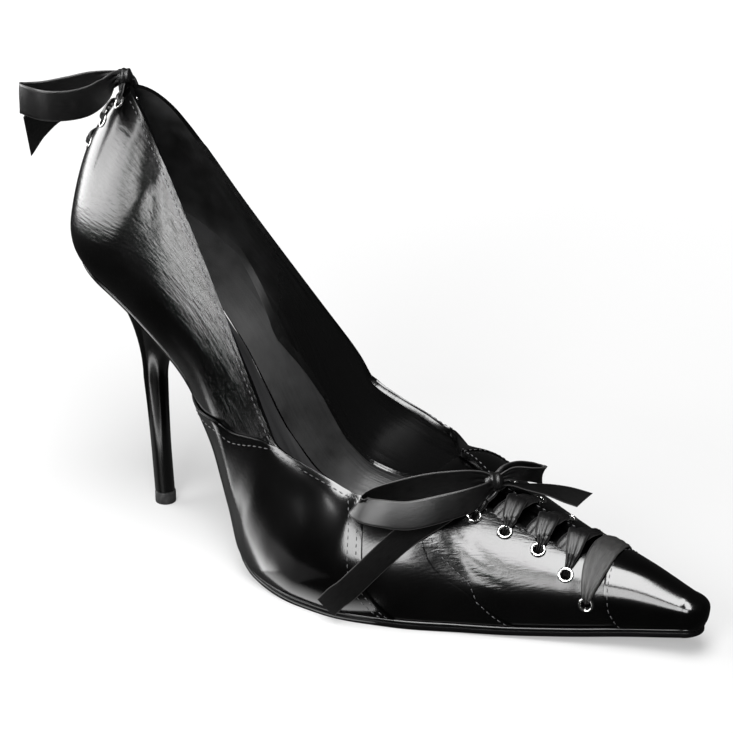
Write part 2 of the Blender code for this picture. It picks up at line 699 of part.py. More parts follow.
def build_laces(satin, metal):
    """Eyelets, ribbon crossings and the bows at the throat and at the top of the back."""
    build_eyelets("front_eyelet", metal, FRONT_EYELETS)
    build_eyelets("back_eyelet", metal, BACK_EYELETS)
    front_s, front_w = FRONT_LACE_TOP
    build_crossings("front_lace_crossings", satin, over_front,
                    [(pair.s_l, pair.v_l - 1) for pair in FRONT_EYELETS],
                    [(pair.s_m, 1 - pair.v_m) for pair in FRONT_EYELETS],
                    ((front_s, -front_w), (front_s, 0.0)))
    back_w, back_v = BACK_LACE_TOP
    build_crossings("back_lace_crossings", satin, over_back,
                    [(-pair.s_l, pair.v_l) for pair in BACK_EYELETS],
                    [(pair.s_m, pair.v_m) for pair in BACK_EYELETS],
                    ((-back_w, back_v), (back_w, back_v)))
    build_knot("front_bow_knot", satin, FRONT_KNOT)
    build_ribbon("front_bow_loop_near", satin, FRONT_LOOP_NEAR, 22)
    build_ribbon("front_bow_loop_far", satin, FRONT_LOOP_FAR, 16)
    build_ribbon("front_bow_end_near", satin, FRONT_END_NEAR, 14)
    build_ribbon("front_bow_end_far", satin, FRONT_END_FAR, 8, -3.4)
    build_knot("back_bow_knot", satin, BACK_KNOT)
    build_ribbon("back_bow_loop_near", satin, BACK_LOOP_NEAR, 20)
    build_ribbon("back_bow_loop_far", satin, BACK_LOOP_FAR, 14)
    build_ribbon("back_bow_end", satin, BACK_END, 10, 10.0)


def main():
    """Clears the scene and builds the shoe."""
    for old in list(bpy.data.objects):
        bpy.data.objects.remove(old)
    leather = material("black_leather", (0.012, 0.012, 0.013), 0.22)
    lining = material("black_lining", (0.016, 0.016, 0.017), 0.45)
    sole_black = material("black_sole", (0.02, 0.02, 0.021), 0.35)
    rubber = material("grey_rubber", (0.05, 0.05, 0.05), 0.6)
    satin = material("black_ribbon", (0.015, 0.015, 0.016), 0.45)
    metal = material("silver_metal", (0.8, 0.8, 0.8), 0.2, 1.0)
    build_upper(leather)
    build_panel("side_panel_lateral", -1, leather)
    build_panel("side_panel_medial", 1, leather)
    build_toe_cap(leather)
    build_tongue(leather)
    build_slab("outsole", sole_black, OUTSOLE_EDGE, lambda x: -smooth(SOLE, "spread", x), lambda x: 0.0,
               lambda x: smooth(SOLE, "thick", x))
    build_slab("insole", lining, INSOLE_EDGE, lambda x: WALL + 0.5, lambda x: smooth(SOLE, "thick", x) + GAP,
               lambda x: smooth(SOLE, "thick", x) + GAP + INSOLE_THICK)
    build_heel(leather)
    build_top_lift(rubber)
    build_laces(satin, metal)


main()
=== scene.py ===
"""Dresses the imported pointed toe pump: polished black leather, ribbon lacing with two bows, studio light.

Sizes are in millimetres, with x from the back of the heel to the toe, y across the foot, below zero on the
outer side, and z up from the floor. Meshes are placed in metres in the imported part's frame.
"""

from __future__ import annotations

import bisect
import logging
import math
from dataclasses import dataclass, field
from enum import Enum, IntEnum
from functools import lru_cache
from typing import Any, Callable, NamedTuple, Sequence

import bmesh
import bpy
from mathutils import Matrix, Vector

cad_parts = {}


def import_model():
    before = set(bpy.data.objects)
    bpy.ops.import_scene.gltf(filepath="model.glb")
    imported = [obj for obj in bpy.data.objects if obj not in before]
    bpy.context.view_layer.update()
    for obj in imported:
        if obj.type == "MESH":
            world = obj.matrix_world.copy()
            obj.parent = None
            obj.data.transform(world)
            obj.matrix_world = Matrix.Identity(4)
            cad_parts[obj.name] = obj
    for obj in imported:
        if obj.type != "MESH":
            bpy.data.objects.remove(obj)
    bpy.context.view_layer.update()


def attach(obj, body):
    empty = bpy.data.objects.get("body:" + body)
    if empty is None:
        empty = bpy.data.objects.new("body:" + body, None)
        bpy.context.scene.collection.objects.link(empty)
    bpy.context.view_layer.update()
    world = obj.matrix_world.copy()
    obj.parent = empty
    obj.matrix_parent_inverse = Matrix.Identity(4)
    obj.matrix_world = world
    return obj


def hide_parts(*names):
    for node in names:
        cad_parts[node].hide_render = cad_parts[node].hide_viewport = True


MM = 0.001
# Greatest height v of a place that still lies on its own side of the crown.
CROWN = 0.999
LOG = logging.getLogger("pump")
Piece = bpy.types.Object
Material = bpy.types.Material
Colour = tuple[float, float, float]
Span = tuple[float, float]
Corner = tuple[Vector, tuple[float, float]]
CornerOf = Callable[[int, int], Corner]
Stitch = tuple[Vector, Vector]


class Side(IntEnum):
    """The two sides of a right foot's shoe, by the sign of y."""

    OUTER = -1
    INNER = 1

    @property
    def word(self) -> str:
        """Returns the side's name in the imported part."""
        return "lateral" if self is Side.OUTER else "medial"


class Slot(Enum):
    """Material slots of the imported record."""

    LEATHER = "black_leather"
    LINING = "black_lining"
    SOLE = "black_sole"
    RUBBER = "grey_rubber"
    RIBBON = "black_ribbon"
    METAL = "silver_metal"


class Grow(IntEnum):
    """Which way a sheet's thickness grows."""

    INWARDS = -1
    BOTH = 0
    OUTWARDS = 1


class FarEnd(Enum):
    """What a bow's ribbon ends in."""

    BARE = "bare"
    KNOT = "knot"


def blend(start: float, end: float, share: float) -> float:
    """Returns the value part of the way from start to end."""
    return start + (end - start) * share


def ease(x: float) -> float:
    """Returns a smooth ramp from 0 at x = 0 to 1 at x = 1."""
    x = min(max(x, 0.0), 1.0)
    return x * x * (3 - 2 * x)


class Track:
    """One column of a table as a smooth curve that doesn't swing past its rows."""

    def __init__(self, places: Sequence[float], values: Sequence[float]) -> None:
        """Keeps the rows and works out the slope at each.

        Args:
            places: where the rows lie, rising.
            values: the value at each row.
        """
        self.places = list(places)
        self.values = list(values)
        rises = [(b - a) / (q - p) for p, q, a, b in zip(places, places[1:], values, values[1:])]
        self.slopes = []
        for before, after in zip([rises[0], *rises], [*rises, rises[-1]]):
            self.slopes.append(0.0 if before * after <= 0 else 2 * before * after / (before + after))

    def __call__(self, x: float) -> float:
        """Reads the curve.

        Args:
            x: where to read it.

        Returns:
            Its value there, held level past its ends.
        """
        if x <= self.places[0]:
            return self.values[0]
        if x >= self.places[-1]:
            return self.values[-1]
        at = bisect.bisect_right(self.places, x) - 1
        span = self.places[at + 1] - self.places[at]
        t = (x - self.places[at]) / span
        start = (1 + 2 * t) * self.values[at] + t * span * self.slopes[at]
        end = (3 - 2 * t) * self.values[at + 1] + (t - 1) * span * self.slopes[at + 1]
        return (1 - t) ** 2 * start + t * t * end


class Rib(NamedTuple):
    """Sizes of one rib of the last: widths at the sole and the widest line, then its rise, top and cut."""

    x: float
    sole_l: float
    sole_m: float
    wide_l: float
    wide_m: float
    belly: float
    upright: float
    travel: float
    top_half: float
    top_z: float
    cut_l: float
    cut_m: float


class SoleRow(NamedTuple):
    """Underside of the sole at x, its thickness there and how far its edge stands out."""

    x: float
    under: float
    thick: float
    spread: float


RIBS = (
    Rib(28.0, 19.2, 19.4, 25.8, 25.8, 15.0, 0.50, 23.5, 12.0, 132.5, 12.0, 12.0),
    Rib(45.0, 19.0, 19.2, 27.6, 27.0, 16.0, 0.50, 21.0, 16.5, 111.5, 16.5, 16.5),
    Rib(62.0, 17.5, 17.0, 28.4, 28.0, 16.0, 0.50, 20.0, 22.5, 88.5, 22.5, 22.5),
    Rib(74.0, 18.5, 17.0, 28.6, 30.0, 15.0, 0.55, 19.0, 27.0, 72.5, 27.0, 27.0),
    Rib(85.0, 25.0, 20.5, 31.6, 33.5, 13.0, 0.60, 16.5, 30.2, 60.0, 30.2, 30.2),
    Rib(94.0, 33.0, 25.5, 35.4, 36.5, 12.0, 0.65, 13.3, 31.0, 51.3, 31.0, 31.0),
    Rib(107.0, 37.4, 31.0, 39.4, 39.5, 11.0, 0.60, 10.5, 30.5, 47.2, 30.5, 30.5),
    Rib(120.0, 40.2, 35.0, 42.2, 40.5, 11.0, 0.60, 7.7, 30.2, 44.0, 30.2, 30.2),
    Rib(133.0, 41.0, 37.5, 43.0, 41.0, 11.0, 0.60, 5.0, 29.2, 41.0, 29.2, 29.2),
    Rib(154.0, 36.6, 37.2, 38.8, 39.6, 10.0, 1.00, 3.0, 0.0, 46.0, 10.5, 7.0),
    Rib(176.0, 27.8, 29.5, 30.0, 31.8, 9.0, 1.00, 0.0, 0.0, 38.5, 8.6, 2.6),
    Rib(203.0, 17.7, 18.2, 19.7, 20.2, 8.0, 1.00, 0.0, 0.0, 31.4, 7.6, 2.0),
    Rib(209.0, 15.5, 15.8, 17.5, 17.8, 7.6, 1.00, 0.0, 0.0, 30.0, 6.5, 1.6),
    Rib(212.0, 14.4, 14.7, 16.3, 16.6, 7.4, 1.00, 0.0, 0.0, 29.3, 0.0, 0.0),
    Rib(228.0, 8.8, 9.0, 10.4, 10.6, 6.5, 1.00, 0.0, 0.0, 25.8, 0.0, 0.0),
    Rib(244.0, 4.7, 4.7, 5.6, 5.6, 5.0, 1.00, 0.0, 0.0, 20.5, 0.0, 0.0),
)
SOLE = (
    SoleRow(0.0, 97.0, 1.8, 0.0),
    SoleRow(8.0, 95.2, 1.8, 0.0),
    SoleRow(17.0, 91.8, 1.8, 0.0),
    SoleRow(28.0, 86.0, 1.8, 0.0),
    SoleRow(40.0, 78.0, 1.8, 0.0),
    SoleRow(50.0, 69.8, 1.8, 0.0),
    SoleRow(60.0, 59.0, 1.8, 0.0),
    SoleRow(70.0, 42.5, 1.9, 0.0),
    SoleRow(80.0, 24.0, 2.2, 0.1),
    SoleRow(90.0, 9.6, 2.6, 0.4),
    SoleRow(100.0, 2.6, 3.0, 0.8),
    SoleRow(112.0, 0.3, 3.3, 1.0),
    SoleRow(122.0, 0.0, 3.4, 1.0),
    SoleRow(160.0, 0.0, 3.4, 1.0),
    SoleRow(185.0, 0.6, 3.4, 1.0),
    SoleRow(205.0, 2.2, 3.4, 1.0),
    SoleRow(225.0, 4.6, 3.4, 1.0),
    SoleRow(240.0, 6.8, 3.4, 1.0),
    SoleRow(252.0, 8.8, 3.4, 1.0),
)


@dataclass(frozen=True)
class Last:
    """The foot-shaped form that the upper is pulled over, as a surface of stations s and heights v.

    A station counts from the centre back (0) round the heel, along the foot and round the toe to its tip.
    v is -1 at the sole's edge, 0 at the widest line and 1 at the rib's top.
    """

    length: float = 250.0
    tread_x: float = 140.0
    heel_x: float = 28.0
    toe_x: float = 244.0
    gap: float = 0.3
    back_sole: float = 18.2
    back_wide: float = 21.0
    back_top: float = 19.5
    back_belly: float = 10.0
    back_top_z: float = 154.0
    back_travel: float = 21.5
    back_lean: int = 3
    back_pinch: float = 0.3
    back_rise: float = 1.15
    toe_sole: float = 4.8
    toe_wide: float = 5.9
    toe_ridge_drop: float = 0.45
    tuck: float = math.radians(60.0)
    rib_length: float = 46.0
    slit_fine: float = 200.0
    slit_past: float = 214.0
    slit_pitch: float = 0.5
    heel_steps: int = 26
    front_steps: int = 20
    toe_steps: int = 12
    ribs: dict[str, Track] = field(default_factory=dict, compare=False, hash=False)
    sole: dict[str, Track] = field(default_factory=dict, compare=False, hash=False)

    def __post_init__(self) -> None:
        """Turns each column of the two tables into a curve."""
        for rows, tracks in ((RIBS, self.ribs), (SOLE, self.sole)):
            for name in rows[0]._fields[1:]:
                tracks[name] = Track([row.x for row in rows], [getattr(row, name) for row in rows])

    def to_scene(self, point: Sequence[float]) -> Vector:
        """Returns the scene position of a point in millimetres."""
        return Vector((point[0] - self.tread_x, point[1], point[2])) * MM

    @lru_cache(maxsize=None)
    def above_sole(self, x: float, height: float) -> float:
        """Returns the height over the floor of a layer this far above the sole's underside, square to it."""
        rise = (self.sole["under"](x + 1) - self.sole["under"](x - 1)) / 2
        return self.sole["under"](x) + height * math.sqrt(1 + rise * rise)

    def feather(self, x: float) -> float:
        """Returns the height of the sole's upper edge, where the upper meets it."""
        return self.above_sole(x, self.sole["thick"](x))

    def place(self, s: float) -> tuple[float, float]:
        """Finds where a station lies.

        Args:
            s: the station.

        Returns:
            Its position along the spine, and its turn in degrees.
        """
        if s < self.heel_x:
            return self.heel_x, 90 * (s / self.heel_x - 1)
        if s > self.toe_x:
            return self.toe_x, 90 * (s - self.toe_x) / (self.length - self.toe_x)
        return s, 0.0

    @staticmethod
    def round_to(side_size: float, end_size: float, turn: float) -> float:
        """Returns the radius at a turn between a size at the side and one at the shoe's end."""
        angle = math.radians(turn)
        return 1 / math.hypot(math.cos(angle) / side_size, math.sin(angle) / end_size)

    @lru_cache(maxsize=None)
    def rib(self, side: Side, s: float) -> dict[str, float]:
        """Returns the sizes of the rib at a station.

        Args:
            side: side of the foot.
            s: the station.

        Returns:
            The rib's sizes by name.
        """
        x, turn = self.place(s)
        angle = math.radians(turn)
        letter = "l" if side < 0 else "m"
        rib = {name: self.ribs[name](x) for name in ("belly", "upright", "travel", "top_half", "top_z")}
        sole = self.ribs["sole_" + letter](x)
        wide = self.ribs["wide_" + letter](x)
        rib["cut"] = self.ribs["cut_" + letter](x)
        rib["lean"] = rib["pinch"] = 0.0
        if turn < 0:
            share = abs(math.sin(angle)) ** self.back_rise
            sole = self.round_to(sole, self.back_sole, turn)
            wide = self.round_to(wide, self.back_wide, turn)
            rib["top_half"] = self.round_to(rib["top_half"], self.back_top, turn)
            rib["cut"] = rib["top_half"]
            rib["belly"] = blend(rib["belly"], self.back_belly, share)
            rib["top_z"] = blend(rib["top_z"], self.back_top_z, share)
            rib["travel"] = blend(rib["travel"], self.back_travel, share)
            rib["lean"] = share
            rib["pinch"] = self.back_pinch * abs(math.sin(angle))
        if turn > 0:
            sole = self.round_to(sole, self.toe_sole, turn)
            wide = self.round_to(wide, self.toe_wide, turn)
        rib.update(x=x, cos=math.cos(angle), sin=math.sin(angle), sole=sole, wide=wide)
        rib["low"] = self.feather(x + sole * rib["sin"]) + self.gap
        return rib

    @staticmethod
    def conic(v: float, first: float, middle: float, last: float) -> float:
        """Returns a place on a round corner from first to last that leans towards middle."""
        a, b, c = (1 - v) ** 2, 2 * v * (1 - v) * math.sqrt(0.5), v * v
        return (a * first + b * middle + c * last) / (a + b + c)

    def surface(self, side: Side, s: float, v: float) -> Vector:
        """Finds a point of the upper's outside.

        Args:
            side: side of the foot.
            s: the station.
            v: the height, from -1 to 1.

        Returns:
            The point, in millimetres.
        """
        rib = self.rib(side, s)
        widest = rib["low"] + rib["belly"]
        if v < 0:
            tuck = (1 - math.cos(v * self.tuck)) / (1 - math.cos(self.tuck))
            out = blend(rib["wide"], rib["sole"], tuck)
            z = rib["low"] + rib["belly"] * (1 + math.sin(v * self.tuck) / math.sin(self.tuck))
        else:
            out = self.conic(v, rib["wide"], rib["wide"], rib["top_half"])
            z = self.conic(v, widest, widest + rib["upright"] * (rib["top_z"] - widest), rib["top_z"])
        if s > self.toe_x and v > 0:
            z -= self.toe_ridge_drop * out * rib["sin"] * (1 - out / rib["wide"])
        climb = (z - rib["low"]) / (rib["top_z"] - rib["low"])
        forward = rib["travel"] * blend(climb, climb ** self.back_lean, rib["lean"])
        aside = out * rib["cos"] * (1 - rib["pinch"] * climb)
        return Vector((rib["x"] + out * rib["sin"] + forward, side * aside, z))

    @lru_cache(maxsize=None)
    def v_at(self, side: Side, s: float, half: float) -> float:
        """Finds the height at which a rib has come in to a half width.

        Args:
            side: side of the foot.
            s: the station.
            half: the half width, in millimetres.

        Returns:
            The height v, or 1 where the rib's top is wider.
        """
        rib = self.rib(side, s)
        if half <= rib["top_half"]:
            return 1.0
        low, high = 0.0, 1.0
        for _ in range(26):
            v = (low + high) / 2
            if self.conic(v, rib["wide"], rib["wide"], rib["top_half"]) > half:
                low = v
            else:
                high = v
        return (low + high) / 2

    def v_top(self, side: Side, s: float) -> float:
        """Returns the v at which the collar or the lace slit cuts a rib."""
        return self.v_at(side, s, self.rib(side, s)["cut"])

    def out(self, side: Side, s: float, v: float) -> Vector:
        """Finds the direction square to the upper's outside.

        Args:
            side: side of the foot.
            s: the station.
            v: the height.

        Returns:
            The direction out, of length 1.
        """
        step = 0.01
        back, front = max(s - 1, 0.0), min(s + 1, self.length)
        up = min(v + step, 1.0 - step)
        along = self.surface(side, front, min(v, up)) - self.surface(side, back, min(v, up))
        rise = self.surface(side, s, up) - self.surface(side, s, max(up - 2 * step, -1.0))
        out = rise.cross(along) * side
        if abs(self.surface(side, s, v).y) < step:
            out.y = 0.0
        return out.normalized()

    def skin(self, side: Side, s: float, v: float, lift: float = 0.0) -> Vector:
        """Returns a point at a distance outside the upper's outer surface."""
        point = self.surface(side, s, v)
        return point + self.out(side, s, v) * lift if lift else point

    def v_below(self, side: Side, s: float, v: float, distance: float) -> float:
        """Walks down a rib.

        Args:
            side: side of the foot.
            s: the station.
            v: the height to start from.
            distance: how far down to go, in millimetres.

        Returns:
            The height there, or -1 where the rib ends first.
        """
        start = self.surface(side, s, v)
        step = 0.004
        low = v
        while low > -1 and (self.surface(side, s, low) - start).length < distance:
            low -= step
        return max(low, -1.0)

    def half_loop(self, step: float = 1.5) -> list[float]:
        """Lists stations along one side, closer together at the heel, the slit's front end and the toe.

        Args:
            step: their distance along the foot, in millimetres.

        Returns:
            The stations from the centre back to the tip of the toe.
        """
        heel = [self.heel_x * i / self.heel_steps for i in range(self.heel_steps)]
        steps = round((self.slit_fine - self.heel_x) / step)
        spine = [blend(self.heel_x, self.slit_fine, i / steps) for i in range(steps)]
        fine = round((self.slit_past - self.slit_fine) / self.slit_pitch)
        slit = [self.slit_fine + self.slit_pitch * i for i in range(fine)]
        front = [blend(self.slit_past, self.toe_x, i / self.front_steps) for i in range(self.front_steps)]
        toe = [blend(self.toe_x, self.length, i / self.toe_steps) for i in range(self.toe_steps + 1)]
        return heel + spine + slit + front + toe

    def loop(self, step: float = 1.5) -> list[tuple[Side, float]]:
        """Returns stations from the centre back along the outer side to the toe, then back on the inner."""
        half = self.half_loop(step)
        return [(Side.OUTER, s) for s in half] + [(Side.INNER, s) for s in reversed(half[:-1])]


LAST = Last()


class Socket:
    """A shader socket that takes part in Python expressions, which add Math nodes."""

    def __init__(self, graph: Graph, link: bpy.types.NodeSocket) -> None:
        """Keeps a node's output socket and the graph that it is in."""
        self.graph = graph
        self.link = link

    def _math(self, operation: str, first: Any, second: Any = 0.0) -> Socket:
        """Returns the result of a Math node."""
        return self.graph.node("ShaderNodeMath", {"operation": operation}, {0: first, 1: second})

    def __add__(self, other: Any) -> Socket:
        """Returns self + other."""
        return self._math("ADD", self, other)

    def __sub__(self, other: Any) -> Socket:
        """Returns self - other."""
        return self._math("SUBTRACT", self, other)

    def __rsub__(self, other: Any) -> Socket:
        """Returns other - self."""
        return self._math("SUBTRACT", other, self)

    def __mul__(self, other: Any) -> Socket:
        """Returns self * other."""
        return self._math("MULTIPLY", self, other)

    __radd__ = __add__
    __rmul__ = __mul__

    def sine(self) -> Socket:
        """Returns the sine of self."""
        return self._math("SINE", self)

    def clamped(self, low: float, high: float) -> Socket:
        """Returns self mapped from low..high to 0..1 and kept in that range."""
        inputs = {"Value": self, "From Min": low, "From Max": high}
        return self.graph.node("ShaderNodeMapRange", {"clamp": True}, inputs)


class Graph:
    """Node tree of one material, with its Principled shader."""

    def __init__(self, name: str) -> None:
        """Starts the material.

        Args:
            name: its name.
        """
        self.material = bpy.data.materials.new(name)
        self.material.use_nodes = True
        self.tree = self.material.node_tree
        self.shader = self.tree.nodes["Principled BSDF"]

    def node(self, kind: str, settings: dict[str, Any], inputs: dict[Any, Any], output: Any = 0) -> Socket:
        """Adds a node.

        Args:
            kind: the node's type.
            settings: its own settings.
            inputs: values or sockets by input name or number.
            output: which of its outputs to return.

        Returns:
            The chosen output.
        """
        node = self.tree.nodes.new(kind)
        for name, value in settings.items():
            setattr(node, name, value)
        self.feed(node, inputs)
        return Socket(self, node.outputs[output])

    def feed(self, node: bpy.types.Node, inputs: dict[Any, Any]) -> None:
        """Links or sets the inputs of a node.

        Args:
            node: the node.
            inputs: values or sockets by input name or number.
        """
        for name, value in inputs.items():
            if isinstance(value, Socket):
                self.tree.links.new(value.link, node.inputs[name])
            else:
                node.inputs[name].default_value = value

    def place(self) -> Socket:
        """Returns the object coordinates, in metres."""
        return self.node("ShaderNodeTexCoord", {}, {}, "Object")

    def along(self) -> Socket:
        """Returns the piece's own UV map."""
        return self.node("ShaderNodeUVMap", {"uv_map": "UVMap"}, {})

    def axis(self, name: str, vector: Socket) -> Socket:
        """Returns one number of a vector."""
        return self.node("ShaderNodeSeparateXYZ", {}, {0: vector}, name)

    def noise(self, scale: float, detail: float = 3.0, vector: Socket | None = None) -> Socket:
        """Returns a soft noise."""
        inputs = {"Vector": vector or self.place(), "Scale": scale, "Detail": detail}
        return self.node("ShaderNodeTexNoise", {}, inputs)

    def stretch(self, scale: tuple[float, float, float], vector: Socket | None = None) -> Socket:
        """Returns coordinates stretched along the axes."""
        inputs = {"Vector": vector or self.place(), "Scale": scale}
        return self.node("ShaderNodeMapping", {}, inputs)

    def turned(self, lengths: tuple[float, float, float], angle: float, vector: Socket) -> Socket:
        """Returns coordinates turned by an angle in degrees and counted in lengths of their own unit."""
        inputs = {"Vector": vector, "Rotation": (0.0, 0.0, math.radians(angle)), "Scale": lengths}
        return self.node("ShaderNodeMapping", {"vector_type": "TEXTURE"}, inputs)

    def mix(self, share: Any, dark: Any, light: Any) -> Socket:
        """Returns a colour between two others, each a socket or three numbers."""
        ends = [end if isinstance(end, Socket) else (*end, 1.0) for end in (dark, light)]
        return self.node("ShaderNodeMix", {"data_type": "RGBA"}, {0: share, 6: ends[0], 7: ends[1]}, 2)

    def bump(self, height: Socket, distance: float, under: Socket | None = None) -> Socket:
        """Raises a surface in its shading.

        Args:
            height: how high it stands, as a share of the distance.
            distance: the full height, in millimetres.
            under: a normal that is already raised, to add to.

        Returns:
            The normal.
        """
        inputs = {"Height": height, "Distance": distance * MM, "Strength": 1.0}
        if under:
            inputs["Normal"] = under
        return self.node("ShaderNodeBump", {}, inputs)


class Finish:
    """A material: what one finish shares with the others."""

    name: str

    def inputs(self, graph: Graph) -> dict[str, Any]:
        """Lays out the finish's pattern.

        Args:
            graph: the material's nodes.

        Returns:
            Values and sockets by the name of the shader's input.
        """
        raise NotImplementedError

    def make(self) -> Material:
        """Makes the material.

        Returns:
            The finished material.
        """
        graph = Graph(self.name)
        graph.feed(graph.shader, self.inputs(graph))
        return graph.material


@dataclass(frozen=True)
class LeatherFinish(Finish):
    """Polished black leather: fine grain, wrinkles pulled towards the collar and the laces, a wiped sheen."""

    name: str
    colour: Colour = (0.0003, 0.0003, 0.0003)
    worn: Colour = (0.001, 0.001, 0.001)
    roughness: float = 0.2
    specular: float = 0.5
    grain: float = 0.008
    wrinkle: float = 0.19
    pucker: float = 0.4
    collar_rise: Span = (-6.0, 30.0)
    collar_start: Span = (8.0, 26.0)
    collar_end: Span = (84.0, 112.0)
    vamp_start: Span = (154.0, 166.0)
    vamp_end: Span = (188.0, 206.0)
    vamp_rise: Span = (0.0, 16.0)

    def inputs(self, graph: Graph) -> dict[str, Any]:
        """Lays out the pattern, as Finish says."""
        uv = graph.along()
        station = graph.axis("X", uv)
        height = graph.axis("Y", uv)
        behind = height.clamped(*self.collar_rise) * station.clamped(*self.collar_start)
        collar = behind * (1.0 - station.clamped(*self.collar_end))
        ahead = station.clamped(*self.vamp_start) * (1.0 - station.clamped(*self.vamp_end))
        vamp = ahead * height.clamped(*self.vamp_rise)
        pulled = collar + vamp * 0.4
        pores = graph.node("ShaderNodeTexVoronoi", {}, {"Vector": graph.place(), "Scale": 1500.0})
        grain = graph.noise(900.0, 4.0)
        fine = graph.noise(1.0, 4.0, graph.turned((3.2, 0.9, 1.0), 20.0, uv))
        broad = graph.noise(1.0, 2.0, graph.turned((13.0, 5.0, 1.0), 35.0, uv))
        cloud = graph.noise(45.0, 3.0)
        smooth = graph.bump(pores * 0.5 + grain, self.grain)
        puckered = graph.bump(broad * pulled, self.pucker, smooth)
        normal = graph.bump(fine * (0.12 + pulled), self.wrinkle, puckered)
        return {
            "Base Color": graph.mix(cloud.clamped(0.4, 0.75), self.colour, self.worn),
            "Roughness": self.roughness + (cloud - 0.5) * 0.1 + pulled * 0.05,
            "Specular IOR Level": self.specular,
            "Normal": normal,
        }


@dataclass(frozen=True)
class LiningFinish(Finish):
    """Black lining leather: smooth in front, napped at the heel, with the sock turned up along its foot."""

    name: str = "lining_leather"
    colour: Colour = (0.003, 0.003, 0.003)
    napped: Colour = (0.018, 0.018, 0.0185)
    heel_end: float = -0.075
    turned_up: Colour = (0.02, 0.02, 0.0203)
    sag: float = 0.5
    ledge: float = -1.8
    dip_start: Span = (46.0, 64.0)
    dip_end: Span = (66.0, 80.0)
    dip: float = -16.0
    sock_line: float = 7.0

    def inputs(self, graph: Graph) -> dict[str, Any]:
        """Lays out the pattern, as Finish says."""
        x = graph.axis("X", graph.place())
        nap = 1.0 - x.clamped(self.heel_end - 0.02, self.heel_end + 0.01)
        cloud = graph.noise(120.0, 4.0)
        fibre = graph.noise(2200.0, 3.0)
        uv = graph.along()
        station = graph.axis("X", uv)
        height = graph.axis("Y", uv)
        dipped = station.clamped(*self.dip_start) * (1.0 - station.clamped(*self.dip_end))
        edge = dipped * self.dip - self.sock_line
        sock = 1.0 - (height - edge).clamped(-0.5, 0.5)
        swell = (height - edge).clamped(0.0, 6.0)
        folds = graph.noise(1.0, 2.0, graph.turned((46.0, 7.0, 1.0), -8.0, uv))
        ripple = folds * self.sag + swell * self.ledge
        leather = graph.mix(nap * cloud.clamped(0.35, 0.7), self.colour, self.napped)
        rippled = graph.bump(ripple * (1.0 - nap), 1.0)
        return {
            "Base Color": graph.mix(sock * cloud.clamped(0.2, 0.7), leather, self.turned_up),
            "Roughness": 0.22 + nap * 0.4 + sock * 0.3 + (cloud - 0.5) * 0.1,
            "Normal": graph.bump(fibre * (0.3 + nap + sock * 2.0), 0.02, rippled),
        }


@dataclass(frozen=True)
class SockFinish(Finish):
    """Padded black sock with lengthwise streaks of wear, painted lighter as a sheen."""

    name: str = "sock_leather"
    colour: Colour = (0.014, 0.014, 0.0145)
    # worn: painted sheen, the lighter colour that the streaks of wear take
    worn: Colour = (0.04, 0.04, 0.041)

    def inputs(self, graph: Graph) -> dict[str, Any]:
        """Lays out the pattern, as Finish says."""
        wear_and_sheen = graph.noise(1.0, 4.0, graph.stretch((14.0, 160.0, 14.0)))
        grain = graph.noise(1400.0, 3.0)
        return {
            # Painted sheen: the streaks of wear turn the colour lighter.
            "Base Color": graph.mix(wear_and_sheen.clamped(0.4, 0.7), self.colour, self.worn),
            "Roughness": 0.34 + (wear_and_sheen - 0.5) * 0.2,
            "Normal": graph.bump(grain * 0.1 + wear_and_sheen, 0.25),
        }


@dataclass(frozen=True)
class SoleFinish(Finish):
    """Black sole with a polished edge and a scuffed underside."""

    name: str = "sole_edge"
    colour: Colour = (0.0015, 0.0015, 0.0016)
    scuffed: Colour = (0.012, 0.0117, 0.0115)

    def inputs(self, graph: Graph) -> dict[str, Any]:
        """Lays out the pattern, as Finish says."""
        up = graph.axis("Z", graph.node("ShaderNodeNewGeometry", {}, {}, "Normal"))
        under = (up * -1.0).clamped(0.6, 0.95)
        drag = graph.noise(1.0, 4.0, graph.stretch((60.0, 500.0, 60.0)))
        wear = under * drag.clamped(0.45, 0.7)
        return {
            "Base Color": graph.mix(wear, self.colour, self.scuffed),
            "Roughness": 0.2 + under * 0.3 + (drag - 0.5) * 0.08,
            "Normal": graph.bump(drag, 0.03),
        }


@dataclass(frozen=True)
class RubberFinish(Finish):
    """Dull dark grey rubber with moulding marks and scuffs."""

    name: str = "lift_rubber"
    colour: Colour = (0.012, 0.012, 0.0125)
    scuffed: Colour = (0.03, 0.0297, 0.029)

    def inputs(self, graph: Graph) -> dict[str, Any]:
        """Lays out the pattern, as Finish says."""
        scuff = graph.noise(600.0, 5.0)
        return {
            "Base Color": graph.mix(scuff.clamped(0.45, 0.75), self.colour, self.scuffed),
            "Roughness": 0.5 + (scuff - 0.5) * 0.3,
            "Normal": graph.bump(scuff, 0.04),
        }


